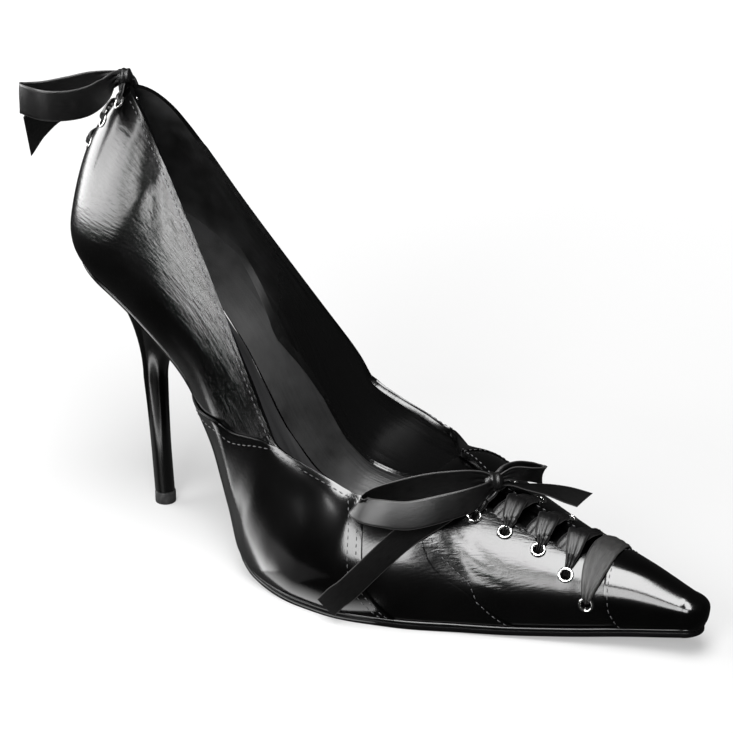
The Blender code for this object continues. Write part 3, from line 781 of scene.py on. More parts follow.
@dataclass(frozen=True)
class RibbonFinish(Finish):
    """Black satin ribbon: warp threads along it, finer weft across, and rougher edges with a painted glint of
    lighter colour.
    """

    name: str = "satin_ribbon"
    colour: Colour = (0.0015, 0.0015, 0.0016)
    slubbed: Colour = (0.005, 0.0048, 0.0048)
    # edge: painted glint colour along both edges of the ribbon
    edge: Colour = (0.04, 0.039, 0.039)
    roughness: float = 0.36
    specular: float = 0.5
    warp_pitch: float = 0.24
    weft_pitch: float = 0.32
    selvedge: float = 0.35
    weave: float = 0.018

    def inputs(self, graph: Graph) -> dict[str, Any]:
        """Lays out the pattern, as Finish says."""
        uv = graph.along()
        along = graph.axis("X", uv)
        from_edge = graph.axis("Y", uv)
        warp = (from_edge * (math.tau / self.warp_pitch)).sine()
        weft = (along * (math.tau / self.weft_pitch)).sine()
        slub = graph.noise(1.0, 3.0, graph.stretch((0.35, 3.0, 1.0), uv))
        glint_edge = 1.0 - from_edge.clamped(0.0, self.selvedge)
        satin = graph.mix(slub.clamped(0.35, 0.7), self.colour, self.slubbed)
        return {
            # Painted glint: the colour turns lighter towards both edges.
            "Base Color": graph.mix(glint_edge, satin, self.edge),
            "Roughness": self.roughness + (slub - 0.5) * 0.16 + glint_edge * 0.1,
            "Specular IOR Level": self.specular,
            "Normal": graph.bump(warp * 0.4 + weft * 0.5 + slub * 1.2, self.weave),
        }


@dataclass(frozen=True)
class ThreadFinish(Finish):
    """Waxed black thread, twisted, with painted glints: lighter colour along its twist."""

    name: str = "waxed_thread"
    colour: Colour = (0.015, 0.015, 0.0155)
    # light: painted glint colour
    light: Colour = (0.065, 0.065, 0.067)

    def inputs(self, graph: Graph) -> dict[str, Any]:
        """Lays out the pattern, as Finish says."""
        twist_and_glint = graph.noise(2500.0, 2.0)
        return {
            # Painted glints: the colour turns lighter along the twist.
            "Base Color": graph.mix(twist_and_glint.clamped(0.35, 0.65), self.colour, self.light),
            "Roughness": 0.3 + twist_and_glint * 0.15,
            "Normal": graph.bump(twist_and_glint, 0.03),
        }


@dataclass(frozen=True)
class MetalFinish(Finish):
    """Bright silver plate with fine handling marks."""

    name: str = "eyelet_silver"
    colour: Colour = (0.80, 0.80, 0.79)
    dull: Colour = (0.62, 0.62, 0.61)

    def inputs(self, graph: Graph) -> dict[str, Any]:
        """Lays out the pattern, as Finish says."""
        mark = graph.noise(1800.0, 4.0)
        return {
            "Base Color": graph.mix(mark.clamped(0.5, 0.8), self.colour, self.dull),
            "Metallic": 1.0,
            "Roughness": 0.13 + mark * 0.1,
            "Normal": graph.bump(mark, 0.008),
        }


@dataclass(frozen=True)
class FloorFinish(Finish):
    """Pale floor with a soft glow of its own, weaker under the shoe."""

    name: str = "pale_floor"
    colour: Colour = (0.26, 0.26, 0.26)
    far_colour: Colour = (0.28, 0.28, 0.28)
    glow: Colour = (0.38, 0.38, 0.38)
    far_glow: Colour = (0.72, 0.72, 0.72)

    def inputs(self, graph: Graph) -> dict[str, Any]:
        """Lays out the pattern, as Finish says."""
        away = graph.node("ShaderNodeVectorMath", {"operation": "LENGTH"}, {0: graph.place()}, "Value")
        return {
            "Base Color": graph.mix(away.clamped(0.0, 1.0), self.colour, self.far_colour),
            "Roughness": 0.7,
            "Emission Color": graph.mix(away.clamped(0.15, 0.65), self.glow, self.far_glow),
            "Emission Strength": 1.0,
        }


@dataclass(frozen=True)
class GlowFinish(Finish):
    """Light that fades from one edge of a patch to the other."""

    name: str
    radiance: float
    far_radiance: float

    def inputs(self, graph: Graph) -> dict[str, Any]:
        """Lays out the pattern, as Finish says."""
        across = graph.axis("Y", graph.along())
        return {
            "Base Color": (0.0, 0.0, 0.0, 1.0),
            "Emission Color": graph.mix(across, (self.radiance,) * 3, (self.far_radiance,) * 3),
            "Emission Strength": 1.0,
        }


@dataclass
class Finishes:
    """All materials of the shoe."""

    leather: Material
    smooth: Material
    lining: Material
    sock: Material
    sole: Material
    rubber: Material
    ribbon: Material
    # Darker, duller satin for the bows' ends: painted shade.
    ribbon_back: Material
    organza: Material
    thread: Material
    metal: Material

    @classmethod
    def make(cls) -> Finishes:
        """Returns the set, each made once."""
        return cls(
            leather=LeatherFinish("upper_leather").make(),
            smooth=LeatherFinish("smooth_leather", roughness=0.16, wrinkle=0.03, pucker=0.0).make(),
            lining=LiningFinish().make(),
            sock=SockFinish().make(),
            sole=SoleFinish().make(),
            rubber=RubberFinish().make(),
            ribbon=RibbonFinish().make(),
            # The bows' ends take a darker, duller copy of the satin: painted shade that keeps them dark.
            ribbon_back=RibbonFinish(
                "ribbon_back", (0.0008, 0.0008, 0.0008), (0.003, 0.003, 0.003), roughness=0.7, specular=0.06
            ).make(),
            organza=RibbonFinish(
                "organza_ribbon", (0.012, 0.012, 0.012), (0.04, 0.039, 0.038), weave=0.04
            ).make(),
            thread=ThreadFinish().make(),
            metal=MetalFinish().make(),
        )


class Shape:
    """A mesh in the making, in metres, and its object once it is finished."""

    def __init__(self) -> None:
        """Starts an empty mesh."""
        self.mesh = bmesh.new()
        self.uv = self.mesh.loops.layers.uv.new("UVMap")

    def sheet(self, columns: int, rows: int, corner_of: CornerOf, material: int = 0) -> Shape:
        """Adds a grid of faces.

        Args:
            columns: faces along the grid.
            rows: faces across it.
            corner_of: place of a corner and its spot on the UV map, in millimetres, from its column and row.
            material: number of the material that its faces take.

        Returns:
            The shape itself.
        """
        made = bmesh.ops.create_grid(self.mesh, x_segments=columns, y_segments=rows, size=1.0)
        for vertex in made["verts"]:
            column, row = (vertex.co.x + 1) / 2 * columns, (vertex.co.y + 1) / 2 * rows
            place, spot = corner_of(round(column), round(row))
            vertex.co = LAST.to_scene(place)
            for loop in vertex.link_loops:
                loop[self.uv].uv = spot
                loop.face.material_index = material
        return self

    def weld(self, distance: float = 0.02) -> Shape:
        """Joins corners that meet and turns all faces one way.

        Args:
            distance: how near they have to be, in millimetres.

        Returns:
            The shape itself.
        """
        bmesh.ops.remove_doubles(self.mesh, verts=self.mesh.verts, dist=distance * MM)
        bmesh.ops.recalc_face_normals(self.mesh, faces=self.mesh.faces)
        return self

    def facing(self, outside: Sequence[float]) -> Shape:
        """Turns an open sheet to face a point outside it.

        Args:
            outside: the point, in millimetres.

        Returns:
            The shape itself.
        """
        target = LAST.to_scene(outside)
        self.mesh.faces.ensure_lookup_table()
        nearest = min(self.mesh.faces, key=lambda face: (face.calc_center_median() - target).length)
        if nearest.normal.dot(target - nearest.calc_center_median()) < 0:
            bmesh.ops.reverse_faces(self.mesh, faces=self.mesh.faces)
        return self

    def finish(self, name: str, *materials: Material, sharp: float = 50.0) -> Piece:
        """Ends the mesh.

        Args:
            name: the object's name.
            materials: its materials, in the order of their numbers.
            sharp: angle in degrees past which an edge isn't shaded smooth.

        Returns:
            The object.
        """
        data = bpy.data.meshes.new(name)
        self.mesh.to_mesh(data)
        self.mesh.free()
        for one in materials:
            data.materials.append(one)
        data.shade_smooth()
        data.set_sharp_from_angle(angle=math.radians(sharp))
        piece = bpy.data.objects.new(name, data)
        bpy.context.scene.collection.objects.link(piece)
        return piece


def wall(piece: Piece, thick: float, grow: Grow, round_off: float = 0.0,
         lined: bool = False) -> None:
    """Gives a sheet its thickness and round edges.

    Args:
        piece: the sheet.
        thick: its thickness in millimetres.
        grow: which way it grows from the sheet.
        round_off: radius of its edges in millimetres.
        lined: whether its inside takes the second material.
    """
    solid = piece.modifiers.new("thickness", "SOLIDIFY")
    solid.thickness = thick * MM
    solid.offset = float(grow)
    solid.use_even_offset = grow is not Grow.BOTH
    solid.use_quality_normals = True
    solid.material_offset = 1 if lined else 0
    if round_off:
        edge = piece.modifiers.new("round_edge", "BEVEL")
        edge.width = round_off * MM
        edge.segments = 3
        edge.limit_method = "ANGLE"
        edge.angle_limit = math.radians(55.0)


def applied(piece: Piece) -> None:
    """Makes modifiers part of a mesh.

    Args:
        piece: the object that has them.
    """
    graph = bpy.context.evaluated_depsgraph_get()
    made = bpy.data.meshes.new_from_object(piece.evaluated_get(graph))
    piece.modifiers.clear()
    piece.data = made


def settle(piece: Piece, slot: Slot, *nodes: str) -> Piece:
    """Puts a piece on the shoe's body, in place of CAD nodes, and logs it.

    Args:
        piece: the finished object.
        slot: not used.
        nodes: names of the CAD nodes that it stands for.

    Returns:
        The piece.
    """
    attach(piece, "root")
    if nodes:
        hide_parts(*nodes)
    LOG.info("%s: %d faces", piece.name, len(piece.data.polygons))
    return piece


class Crease(NamedTuple):
    """A soft trough in the leather between two places of a side, with its width and depth."""

    s0: float
    v0: float
    s1: float
    v1: float
    wide: float
    deep: float


@dataclass
class Upper:
    """Lasted upper: hollow wall with its collar, lace slit, back slit and eyelet holes, and the tongue."""

    finishes: Finishes
    thick: float = 1.6
    rim: float = 0.7
    slit_half: float = 1.9
    slit_base: float = 0.38
    slit_opens: float = 0.12
    slit_shoulder: float = 0.75
    slit_closes: float = 0.55
    slit_reach: float = 12.0
    hole_radius: float = 1.85
    hole_deep: float = 8.0
    tongue_back: float = 148.5
    tongue_front: float = 212.0
    tongue_half: float = 15.0
    tongue_at_wide: float = 39.4
    tongue_drop: float = 0.6
    tongue_thick: float = 1.2
    tongue_rim: float = 0.35
    crease_start: float = 0.12
    crease_run: float = 0.76
    crease_swell: float = 0.35
    outer_creases: tuple[Crease, ...] = (
        Crease(168.0, 0.50, 181.0, 0.22, 2.2, 0.28),
        Crease(170.0, 0.56, 186.0, 0.34, 2.0, 0.22),
        Crease(171.5, 0.42, 183.0, 0.10, 1.8, 0.22),
        Crease(175.0, 0.30, 190.0, 0.18, 2.2, 0.20),
        Crease(160.0, 0.30, 166.0, -0.30, 3.5, 0.25),
        Crease(12.0, 0.95, 20.0, 0.35, 3.0, 0.30),
        Crease(17.0, 0.98, 27.0, 0.45, 2.5, 0.28),
        Crease(22.0, 0.96, 36.0, 0.55, 2.5, 0.25),
        Crease(30.0, 0.96, 44.0, 0.66, 2.2, 0.22),
    )
    inner_creases: tuple[Crease, ...] = (
        Crease(168.0, 0.60, 182.0, 0.24, 2.2, 0.26),
        Crease(172.0, 0.44, 187.0, 0.16, 2.0, 0.22),
        Crease(160.0, 0.34, 167.0, -0.30, 3.5, 0.25),
        Crease(12.0, 0.95, 21.0, 0.35, 3.0, 0.30),
        Crease(19.0, 0.97, 30.0, 0.50, 2.5, 0.28),
        Crease(28.0, 0.96, 42.0, 0.62, 2.3, 0.24),
    )

    def crease_at(self, side: Side, s: float, v: float) -> float:
        """Adds up how deep the creases press in at a place.

        Args:
            side: side of the foot.
            s: the station.
            v: the height.

        Returns:
            The depth, in millimetres.
        """
        depth = 0.0
        for crease in self.outer_creases if side is Side.OUTER else self.inner_creases:
            along = Vector((crease.s1 - crease.s0, (crease.v1 - crease.v0) * LAST.rib_length))
            to = Vector((s - crease.s0, (v - crease.v0) * LAST.rib_length))
            share = min(max(to.dot(along) / along.length_squared, 0.0), 1.0)
            away = (to - along * share).length / crease.wide
            taper = math.sin(math.pi * (self.crease_start + self.crease_run * share))
            depth += crease.deep * taper * (1 - self.crease_swell * away * away) * math.exp(-away * away)
        return depth

    def back_slit(self, s: float, row: float) -> float:
        """Moves a station aside where the back slit opens the wall.

        Args:
            s: the station on the closed wall.
            row: the height, as a share of the rib.

        Returns:
            The station on the open wall.
        """
        narrowed = 1 - self.slit_closes * ease((row - self.slit_shoulder) / (1 - self.slit_shoulder))
        opened = self.slit_half * ease((row - self.slit_base) / self.slit_opens) * narrowed
        return s if s >= self.slit_reach else opened + s * (1 - opened / self.slit_reach)

    def build(self) -> list[Piece]:
        """Makes the upper and the tongue and returns them."""
        return [self.build_wall(), self.build_tongue()]

    def build_wall(self) -> Piece:
        """Makes the hollow wall, lined on its inside.

        Returns:
            The piece.
        """
        loop = LAST.loop()
        rows = [-1 + 0.125 * j for j in range(8)] + [j / 40 for j in range(41)]

        def corner(i: int, j: int) -> Corner:
            """Places a corner of the wall.

            Args:
                i: its column.
                j: its row.

            Returns:
                Its place and its spot on the map.
            """
            side, s = loop[i]
            s = self.back_slit(s, rows[j])
            v = rows[j] if rows[j] <= 0 else rows[j] * LAST.v_top(side, s)
            return LAST.skin(side, s, v, -self.crease_at(side, s, v)), (s, v * LAST.rib_length)

        shape = Shape().sheet(len(loop) - 1, len(rows) - 1, corner).weld().facing((120.0, -200.0, 30.0))
        piece = shape.finish("upper_wall", self.finishes.leather, self.finishes.lining)
        wall(piece, self.thick, Grow.INWARDS, self.rim, True)
        self.cut_holes(piece)
        applied(piece)
        return settle(piece, Slot.LEATHER, "upper")

    def cut_holes(self, piece: Piece) -> None:
        """Cuts the eyelet holes through the wall.

        Args:
            piece: the wall.
        """
        cutter = Shape()
        for side, s, v in eyelet_places():
            bmesh.ops.create_cone(cutter.mesh, cap_ends=True, segments=16, radius1=self.hole_radius * MM,
                                  radius2=self.hole_radius * MM, depth=self.hole_deep * MM,
                                  matrix=surface_frame(side, s, v))
        tool = cutter.finish("eyelet_cutter")
        tool.hide_render = True
        tool.display_type = "WIRE"
        cut = piece.modifiers.new("eyelet_holes", "BOOLEAN")
        cut.object = tool
        cut.operation = "DIFFERENCE"
        cut.solver = "EXACT"
        applied(piece)
        bpy.data.objects.remove(tool)

    def build_tongue(self) -> Piece:
        """Makes the tongue under the lace slit.

        Returns:
            The piece.
        """
        columns, rows = 80, 40

        def corner(i: int, j: int) -> Corner:
            """Places a corner of the tongue.

            Args:
                i: its column.
                j: its row.

            Returns:
                Its place and its spot on the map.
            """
            s = blend(self.tongue_back, self.tongue_front, i / columns)
            y = blend(-self.tongue_half, self.tongue_half, j / rows)
            y = y * LAST.ribs["wide_l"](s) / self.tongue_at_wide
            side = Side.OUTER if y <= 0 else Side.INNER
            v = min(LAST.v_at(side, s, abs(y)), CROWN)
            return LAST.skin(side, s, v, -self.thick - self.tongue_drop), (s, v * LAST.rib_length)

        shape = Shape().sheet(columns, rows, corner).weld().facing((180.0, 0.0, 200.0))
        piece = shape.finish("tongue_leather", self.finishes.leather)
        wall(piece, self.tongue_thick, Grow.INWARDS, self.tongue_rim)
        return settle(piece, Slot.LEATHER, "tongue")


class EyeletPair(NamedTuple):
    """Stations and heights of a pair of eyelets on the outer and inner side."""

    s_l: float
    v_l: float
    s_m: float
    v_m: float

    def on(self, side: Side) -> tuple[float, float]:
        """Returns the station and height of the eyelet on a side."""
        return (self.s_l, self.v_l) if side is Side.OUTER else (self.s_m, self.v_m)


FRONT_EYELETS = (
    EyeletPair(173.0, 0.675, 173.0, 0.80),
    EyeletPair(184.0, 0.65, 184.0, 0.78),
    EyeletPair(196.0, 0.60, 196.0, 0.75),
    EyeletPair(207.0, 0.425, 207.0, 0.58),
    EyeletPair(215.0, 0.08, 214.0, 0.22),
)
BACK_EYELETS = (
    EyeletPair(5.2, 0.88, 5.2, 0.88),
    EyeletPair(5.2, 0.71, 5.2, 0.71),
    EyeletPair(5.2, 0.54, 5.2, 0.54),
)


def eyelet_places() -> list[tuple[Side, float, float]]:
    """Returns the side, station and height of every eyelet."""
    return [(side, *pair.on(side)) for side in Side for pair in FRONT_EYELETS + BACK_EYELETS]


def surface_frame(side: Side, s: float, v: float) -> Matrix:
    """Works out the placing of something that stands on the upper.

    Args:
        side: side of the foot.
        s: the station.
        v: the height.

    Returns:
        Its place in the scene, with the z axis pointing out.
    """
    middle = LAST.skin(side, s, v)
    out = LAST.out(side, s, v)
    across = out.cross(LAST.skin(side, s + 1, v) - middle).normalized()
    turn = Matrix((across.cross(out), across, out)).transposed().to_4x4()
    return Matrix.Translation(LAST.to_scene(middle)) @ turn


@dataclass
class EyeletSet:
    """Metal eyelets with a rolled flange and a barrel through the wall."""

    finishes: Finishes
    around: int = 32
    profile: tuple[tuple[float, float], ...] = (
        (1.62, -1.5), (1.62, 0.2), (1.68, 0.48), (1.84, 0.72), (2.10, 0.80), (2.36, 0.72), (2.54, 0.48),
        (2.60, 0.25), (2.54, 0.06), (1.80, 0.06), (1.80, -1.5),
    )

    def build(self, name: str, pairs: Sequence[EyeletPair], rise: float) -> Piece:
        """Makes all eyelets of a slit as one piece.

        Args:
            name: start of their CAD nodes' names.
            pairs: where they stand.
            rise: share of the flange's height that is left once they are pressed in.

        Returns:
            The piece.
        """
        shape = Shape()
        nodes = []
        for number, pair in enumerate(pairs, start=1):
            for side in Side:
                self.add(shape, surface_frame(side, *pair.on(side)) @ Matrix.Diagonal((1.0, 1.0, rise, 1.0)))
                nodes.append(f"{name}_{side.word}_{number}")
        shape.weld(0.005)
        piece = shape.finish(name + "s", self.finishes.metal, sharp=40.0)
        return settle(piece, Slot.METAL, *nodes)

    def add(self, shape: Shape, turn: Matrix) -> None:
        """Adds an eyelet, its profile turned round its axis.

        Args:
            shape: what it is added to.
            turn: where it stands.
        """
        points = [shape.mesh.verts.new((radius * MM, 0.0, high * MM)) for radius, high in self.profile]
        edges = [shape.mesh.edges.new(pair) for pair in zip(points, points[1:] + points[:1])]
        bmesh.ops.spin(shape.mesh, geom=points + edges, cent=(0, 0, 0), axis=(0, 0, 1), angle=math.tau,
                       steps=self.around, use_merge=True)
        ring = set(points)
        todo = list(points)
        while todo:
            for edge in todo.pop().link_edges:
                for corner in edge.verts:
                    if corner not in ring:
                        ring.add(corner)
                        todo.append(corner)
        bmesh.ops.transform(shape.mesh, matrix=turn, verts=list(ring))


@dataclass
class Overlays:
    """Leather that lies on the upper: wing-shaped side panels, the quarters' front edges and the toe cap."""

    finishes: Finishes
    lift: float = 0.42
    thick: float = 0.75
    edge: float = 0.3
    foot: float = -0.97
    wing_sole: float = 65.0
    wing_top: float = 94.0
    wing_sweep: float = 0.36
    front_sole: float = 156.0
    front_top: float = 129.0
    front_bow: float = 0.55
    quarter_front: Track = field(default_factory=lambda: Track((-1.0, -0.4, 0.15, 0.40, 0.75, 1.0),
                                                               (192.5, 187.5, 181.0, 166.0, 155.5, 151.0)))
    quarter_thick: float = 0.4
    quarter_edge: float = 0.16
    quarter_lift: float = 0.04
    quarter_lap: float = 5.0
    quarter_least: float = 8.0
    cap_sole: float = 224.0
    cap_top: float = 217.0
    cap_even: float = 226.0
    cap_steps: int = 8

    def build(self) -> list[Piece]:
        """Makes all overlays.

        Returns:
            The pieces.
        """
        pieces = []
        for side in Side:
            pieces.append(self.build_panel(side))
            pieces.append(self.build_quarter(side))
        return [*pieces, self.build_cap()]

    def front_edge(self, share: float) -> float:
        """Returns the station of a side panel's front edge at a share of its height."""
        return blend(self.front_top, self.front_sole, (1 - share) ** self.front_bow)

    def panel_place(self, side: Side, share: float, along: float) -> tuple[float, float]:
        """Finds a place on a side panel.

        Args:
            side: side of the foot.
            share: share of the panel's height, from the sole up.
            along: share of its length there, from the wing forward.

        Returns:
            The station and the height v.
        """
        start = blend(self.wing_sole, self.wing_top, blend(share, share ** 4, self.wing_sweep))
        s = blend(start, self.front_edge(share), along)
        return s, blend(self.foot, LAST.v_top(side, s), share)

    def build_panel(self, side: Side) -> Piece:
        """Makes a wing-shaped side panel, folded down to the upper along the collar.

        Args:
            side: side of the foot.

        Returns:
            The piece.
        """
        columns, rows = 84, 56
        pressed, fold_share = 0.06, 0.07

        def corner(i: int, j: int) -> Corner:
            """Places a corner of the panel.

            Args:
                i: its column.
                j: its row.

            Returns:
                Its place and its spot on the map.
            """
            s, v = self.panel_place(side, j / rows, i / columns)
            fold = ease((1 - j / rows) / fold_share)
            return LAST.skin(side, s, v, blend(pressed, self.lift, fold)), (s, v * LAST.rib_length)

        shape = Shape().sheet(columns, rows, corner).weld().facing((110.0, side * 300.0, 20.0))
        piece = shape.finish(f"side_panel_{side.word}_leather", self.finishes.smooth)
        wall(piece, self.thick, Grow.OUTWARDS, self.edge)
        return settle(piece, Slot.LEATHER, f"side_panel_{side.word}")

    def build_quarter(self, side: Side) -> Piece:
        """Makes the quarter's front edge, which lies over the vamp in front of the side panel.

        Args:
            side: side of the foot.

        Returns:
            The piece.
        """
        columns, rows = 40, 56

        def corner(i: int, j: int) -> Corner:
            """Places a corner of the quarter's edge.

            Args:
                i: its column.
                j: its row.

            Returns:
                Its place and its spot on the map.
            """
            share = j / rows
            end = self.quarter_front(blend(self.foot, 1.0, share))
            start = min(self.front_edge(share) - self.quarter_lap, end - self.quarter_least)
            s = blend(start, end, i / columns)
            v = blend(self.foot, LAST.v_top(side, s) - 0.005, share)
            return LAST.skin(side, s, v, self.quarter_lift), (s, v * LAST.rib_length)

        shape = Shape().sheet(columns, rows, corner).weld().facing((150.0, side * 300.0, 20.0))
        piece = shape.finish(f"quarter_front_{side.word}", self.finishes.leather)
        wall(piece, self.quarter_thick, Grow.OUTWARDS, self.quarter_edge)
        return settle(piece, Slot.LEATHER)

    def build_cap(self) -> Piece:
        """Makes the cap over the toe.

        Returns:
            The piece.
        """
        ahead = [s for s in LAST.half_loop() if s > self.cap_even]
        back = [i / self.cap_steps for i in range(self.cap_steps)]
        half = [(-1.0, share) for share in back] + [(s, 1.0) for s in ahead]
        loop = [(Side.OUTER, *place) for place in half]
        loop += [(Side.INNER, *place) for place in reversed(half[:-1])]
        rows = 44

        def corner(i: int, j: int) -> Corner:
            """Places a corner of the cap.

            Args:
                i: its column.
                j: its row.

            Returns:
                Its place and its spot on the map.
            """
            side, s, share = loop[i]
            # A station below zero marks a column between the slanting back edge and the even station.
            if s < 0:
                s = blend(blend(self.cap_sole, self.cap_top, j / rows), self.cap_even, share)
            v = blend(self.foot, 1.0, j / rows)
            return LAST.skin(side, s, v, self.lift), (s, v * LAST.rib_length)

        shape = Shape().sheet(len(loop) - 1, rows, corner).weld().facing((400.0, 0.0, 15.0))
        piece = shape.finish("toe_cap_leather", self.finishes.smooth)
        wall(piece, self.thick, Grow.OUTWARDS, self.edge)
        return settle(piece, Slot.LEATHER, "toe_cap")


class EdgeStep(NamedTuple):
    """A step of a slab's side: how far in from the outline, and the share of its thickness."""

    inset: float
    share: float


class ShaftRow(NamedTuple):
    """A section of the heel's shaft: its level, its middle and its half sizes along and across the foot."""

    z: float
    x: float
    half_long: float
    half_wide: float


@dataclass
class Bottom:
    """Outsole with its edge bead, padded sock, covered heel and top lift."""

    finishes: Finishes
    sock_thick: float = 2.4
    wall_inside: float = 2.1
    seat_mid: float = 33.0
    seat_long: float = 23.0
    seat_wide: float = 17.0
    lift_x: float = 38.4
    lift_radius: float = 3.7
    lift_high: float = 4.5
    lift_girth: float = 24.0
    heel_girth: float = 40.0
    heel_gap: float = 0.45
    breast_gap: float = 3.0
    breast_share: float = 0.55
    breast_rise: float = 0.5
    plain_spot: float = 120.0
    sock_crown: float = 0.5
    narrow: float = 12.0
    bead: tuple[EdgeStep, ...] = (
        EdgeStep(0.80, 1.0), EdgeStep(0.30, 0.99), EdgeStep(0.06, 0.93), EdgeStep(0.0, 0.84),
        EdgeStep(0.06, 0.74), EdgeStep(0.24, 0.66), EdgeStep(0.50, 0.60), EdgeStep(0.44, 0.54),
        EdgeStep(0.32, 0.46), EdgeStep(0.28, 0.30), EdgeStep(0.30, 0.14), EdgeStep(0.46, 0.05),
        EdgeStep(0.80, 0.0),
    )
    sock_edge: tuple[EdgeStep, ...] = (
        EdgeStep(1.6, 1.0), EdgeStep(0.9, 0.95), EdgeStep(0.4, 0.8), EdgeStep(0.1, 0.5), EdgeStep(0.0, 0.0),
    )
    shaft: tuple[ShaftRow, ...] = (
        ShaftRow(4.8, 38.2, 3.5, 3.5), ShaftRow(20.0, 37.3, 3.5, 3.6),
        ShaftRow(35.0, 36.5, 3.8, 3.9), ShaftRow(48.0, 35.8, 4.3, 4.4),
    )

    def build(self) -> list[Piece]:
        """Makes the sole, sock, heel and top lift and returns them."""
        return [self.build_outsole(), self.build_sock(), self.build_heel(), self.build_lift()]

    def slab(self, edge: Sequence[EdgeStep], inset: Callable[[float], float], low: Callable[[float], float],
             high: Callable[[float], float], crown: float) -> Shape:
        """Makes a layer on the sole.

        Args:
            edge: its side, from the top to the underside.
            inset: its outline's distance inside the upper's edge at x.
            low: height of its underside over the sole's underside at x.
            high: height of its top.
            crown: how far its top swells in the middle.

        Returns:
            The closed shape.
        """
        inner = (0.0, 0.3, 0.55, 0.75, 0.9)
        shares = [*inner, *([1.0] * len(edge)), *reversed(inner)]
        loop = LAST.loop(2.0)

        def corner(i: int, j: int) -> Corner:
            """Places a corner of the layer.

            Args:
                i: its column.
                j: its row.

            Returns:
                Its place and its spot on the map.
            """
            side, s = loop[i]
            rib = LAST.rib(side, s)
            step = edge[min(max(j - len(inner), 0), len(edge) - 1)]
            reach = shares[j] * (rib["sole"] - inset(rib["x"]) - step.inset)
            x = rib["x"] + reach * rib["sin"]
            height = blend(low(x), high(x), step.share)
            if j < len(inner):
                height += crown * (1 - shares[j] ** 2) * ease(rib["sole"] / self.narrow)
            y = side * reach * rib["cos"]
            return Vector((x, y, LAST.above_sole(x, height))), (x, y)

        return Shape().sheet(len(loop) - 1, len(shares) - 1, corner).weld()

    def build_outsole(self) -> Piece:
        """Makes the outsole.

        Returns:
            The piece.
        """
        thick = LAST.sole["thick"]
        shape = self.slab(self.bead, lambda x: -LAST.sole["spread"](x), lambda x: 0.0, thick, 0.0)
        return settle(shape.finish("outsole_edge", self.finishes.sole), Slot.SOLE, "outsole")

    def build_sock(self) -> Piece:
        """Makes the padded sock.

        Returns:
            The piece.
        """
        thick = LAST.sole["thick"]
        shape = self.slab(self.sock_edge, lambda x: self.wall_inside, lambda x: thick(x) + LAST.gap,
                          lambda x: thick(x) + LAST.gap + self.sock_thick, self.sock_crown)
        piece = settle(shape.finish("padded_sock", self.finishes.sock), Slot.LINING, "insole")
        return piece

    def build_heel(self) -> Piece:
        """Makes the covered stiletto heel.

        Returns:
            The piece.
        """
        around, flare, steps = 48, 18, 14
        levels = [blend(self.shaft[0].z, self.shaft[-1].z, k / steps) for k in range(steps + 1)]
        tracks = [Track([row.z for row in self.shaft], column) for column in list(zip(*self.shaft))[1:]]
        rows = len(levels) + flare + 1

        def place(i: int, j: int) -> Vector:
            """Places a point of the heel.

            Args:
                i: its column.
                j: its row; the first and the last close the heel's ends.

            Returns:
                The point, in millimetres.
            """
            angle = math.tau * i / around
            ahead, aside = math.cos(angle), math.sin(angle)
            level = levels[min(max(j - 1, 0), len(levels) - 1)]
            x, half_long, half_wide = (track(level) for track in tracks)
            neck = Vector((x + half_long * ahead, half_wide * aside, level))
            if j == 0:
                return Vector((x, 0.0, level))
            if j <= len(levels):
                return neck
            top = Vector((self.seat_mid + self.seat_long * ahead, self.seat_wide * aside, 0.0))
            top.z = LAST.above_sole(top.x, -self.heel_gap)
            if j == rows:
                return Vector((top.x, 0.0, top.z))
            share = self.breast_share
            under = Vector((blend(top.x, neck.x, share), blend(top.y, neck.y, share), 0.0))
            under.z = LAST.above_sole(under.x, -self.breast_gap)
            rise = neck + Vector((0.0, 0.0, self.breast_rise * (under.z - neck.z)))
            t = (j - len(levels)) / flare
            lower = neck * (1 - t) ** 3 + rise * 3 * t * (1 - t) ** 2
            return lower + under * 3 * t * t * (1 - t) + top * t ** 3

        def corner(i: int, j: int) -> Corner:
            """Returns a point of the heel and its spot on a plain stretch of the map."""
            point = place(i, j)
            return point, (self.plain_spot + self.heel_girth * i / around, point.z - self.plain_spot)

        shape = Shape().sheet(around, rows, corner).weld()
        return settle(shape.finish("heel_cover", self.finishes.smooth), Slot.LEATHER, "heel")

    def build_lift(self) -> Piece:
        """Makes the top lift under the heel.

        Returns:
            The piece.
        """
        high, radius = self.lift_high, self.lift_radius
        profile = (
            (0.0, high), (radius - 0.5, high), (radius - 0.12, high - 0.12), (radius, high - 0.5),
            (radius, 0.4), (radius - 0.12, 0.1), (radius - 0.4, 0.0), (0.0, 0.0),
        )
        around = 40

        def corner(i: int, j: int) -> Corner:
            """Places a point of the lift.

            Args:
                i: its column.
                j: its row.

            Returns:
                Its place and its spot on the map.
            """
            angle = math.tau * i / around
            out, z = profile[j]
            point = Vector((self.lift_x + out * math.cos(angle), out * math.sin(angle), z))
            return point, (self.lift_girth * i / around, z + out)

        shape = Shape().sheet(around, len(profile) - 1, corner).weld()
        piece = shape.finish("heel_tip", self.finishes.rubber, sharp=35.0)
        return settle(piece, Slot.RUBBER, "heel_top_lift")


class Way(NamedTuple):
    """A row of a ribbon's route: its middle, its width and its face's lean up from level, in degrees."""

    x: float
    y: float
    z: float
    wide: float
    lean: float


